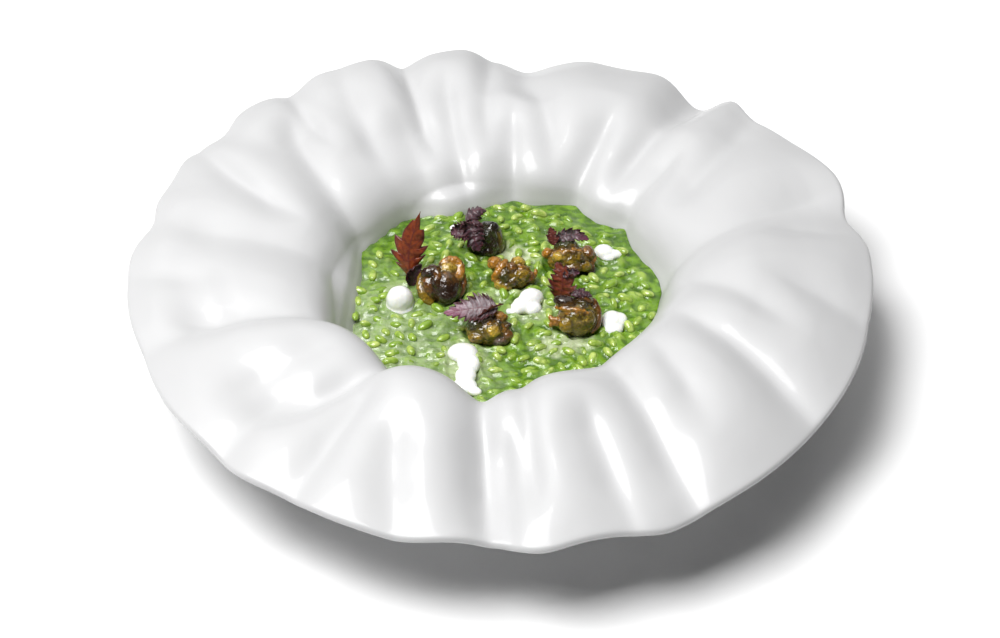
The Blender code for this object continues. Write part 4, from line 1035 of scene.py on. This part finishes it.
def leafMaterial():
    material, tree, shader, where = startMaterial("purpleLeaf", {
        "Roughness": 0.38, "Subsurface Weight": 0.15, "Subsurface Radius": (1.0, 0.2, 0.2),
        "Subsurface Scale": 0.0008, "Coat Weight": 0.15, "Coat Roughness": 0.2,
        "Sheen Weight": 0.1, "Sheen Roughness": 0.4})
    mottle = noiseNode(tree, where, 600.0, 4.0, 0.6)
    dark = rampNode(tree, mottle, ((0.35, (0.020, 0.008, 0.012)), (0.7, (0.075, 0.018, 0.032))))
    red = rampNode(tree, mottle, ((0.32, (0.125, 0.014, 0.005)), (0.7, (0.33, 0.066, 0.012))))
    # the pale grey-purple in the middle of violet sheets is partly the leaf's own purple and partly a painted
    # sheen
    violet = rampNode(tree, mottle, ((0.32, (0.125, 0.080, 0.095)), (0.7, (0.30, 0.255, 0.265))))
    colour = mixNode(tree, attributeNode(tree, "red"), dark, red)
    inner = greyRamp(tree, attributeNode(tree, "edge"), 0.55, 0.85, 1.0, 0.0)
    violetShare = timesNode(tree, attributeNode(tree, "violet"), inner)
    colour = mixNode(tree, violetShare, colour, violet)
    tip = timesNode(tree, violetShare, greyRamp(tree, attributeNode(tree, "along"), 0.60, 0.92))
    colour = mixNode(tree, tip, colour, (0.20, 0.022, 0.085))
    rim = greyRamp(tree, attributeNode(tree, "edge"), 0.62, 0.98, 0.0, 0.85)
    colour = mixNode(tree, rim, colour, (0.060, 0.010, 0.014))
    veinShare = greyRamp(tree, attributeNode(tree, "vein"), 0.2, 1.0, 0.0, 0.65)
    colour = mixNode(tree, veinShare, colour, (0.10, 0.010, 0.018))
    tree.links.new(colour, shader.inputs["Base Color"])
    fine = noiseNode(tree, where, 1500.0, 4.0, 0.6)
    ribs = bumpNode(tree, attributeNode(tree, "vein"), 0.0002, 0.6)
    tree.links.new(bumpNode(tree, fine, 0.0002, 0.6, ribs), shader.inputs["Normal"])
    return material


leafFinish = leafMaterial()
for name in leaves:
    makeLeaf(name, leafFinish)
print("leaves made")


stageLook = {
    "floorSize": 6.0, "floorColour": (0.95, 0.95, 0.95),
    "keyPlace": (-0.50, -0.16, 1.30), "keySize": (0.80, 0.80), "keyPower": 26.0,
    "backPlace": (0.0, 0.66, 1.38), "backSize": (1.9, 1.6), "backPower": 8.5,
    "air": 0.055,
    "elevation": 43.0, "distance": 1.0, "aim": (-0.0001, -0.0063, 0.020), "lens": 86.76,
}


def addLight(name, place, size, power, aim=(0.0, 0.0, 0.03)):
    lamp = bpy.data.lights.new(name, "AREA")
    lamp.shape = "RECTANGLE"
    lamp.size, lamp.size_y = size
    lamp.energy = power
    holder = bpy.data.objects.new(name, lamp)
    holder.location = place
    holder.rotation_euler = (Vector(aim) - Vector(place)).to_track_quat("-Z", "Y").to_euler()
    bpy.context.scene.collection.objects.link(holder)


def makeStage():
    look = stageLook
    half = look["floorSize"] / 2.0
    mesh = bpy.data.meshes.new("floor")
    corners = [(-half, -half, 0), (half, -half, 0), (half, half, 0), (-half, half, 0)]
    mesh.from_pydata(corners, [], [(0, 1, 2, 3)])
    material, tree, shader, where = startMaterial("paper", {
        "Base Color": (*look["floorColour"], 1.0), "Roughness": 0.9, "Specular IOR Level": 0.1})
    mesh.materials.append(material)
    floor = bpy.data.objects.new("floor", mesh)
    bpy.context.scene.collection.objects.link(floor)
    addLight("keySoftbox", look["keyPlace"], look["keySize"], look["keyPower"])
    addLight("backSoftbox", look["backPlace"], look["backSize"], look["backPower"])
    world = bpy.data.worlds.new("studio")
    bpy.context.scene.world = world
    world.use_nodes = True
    air = world.node_tree.nodes["Background"]
    air.inputs["Color"].default_value = (1.0, 1.0, 1.0, 1.0)
    air.inputs["Strength"].default_value = look["air"]
    bpy.context.scene.view_settings.view_transform = "Standard"


def makeCamera():
    look = stageLook
    tilt = math.radians(look["elevation"])
    back = Vector((0.0, -math.cos(tilt), math.sin(tilt)))
    lens = bpy.data.cameras.new("tableCamera")
    lens.lens = look["lens"]
    lens.sensor_width = 36.0
    camera = bpy.data.objects.new("tableCamera", lens)
    camera.location = Vector(look["aim"]) + back * look["distance"]
    camera.rotation_euler = (-back).to_track_quat("-Z", "Y").to_euler()
    bpy.context.scene.collection.objects.link(camera)
    bpy.context.scene.camera = camera


makeStage()
makeCamera()
print("stage and camera made")
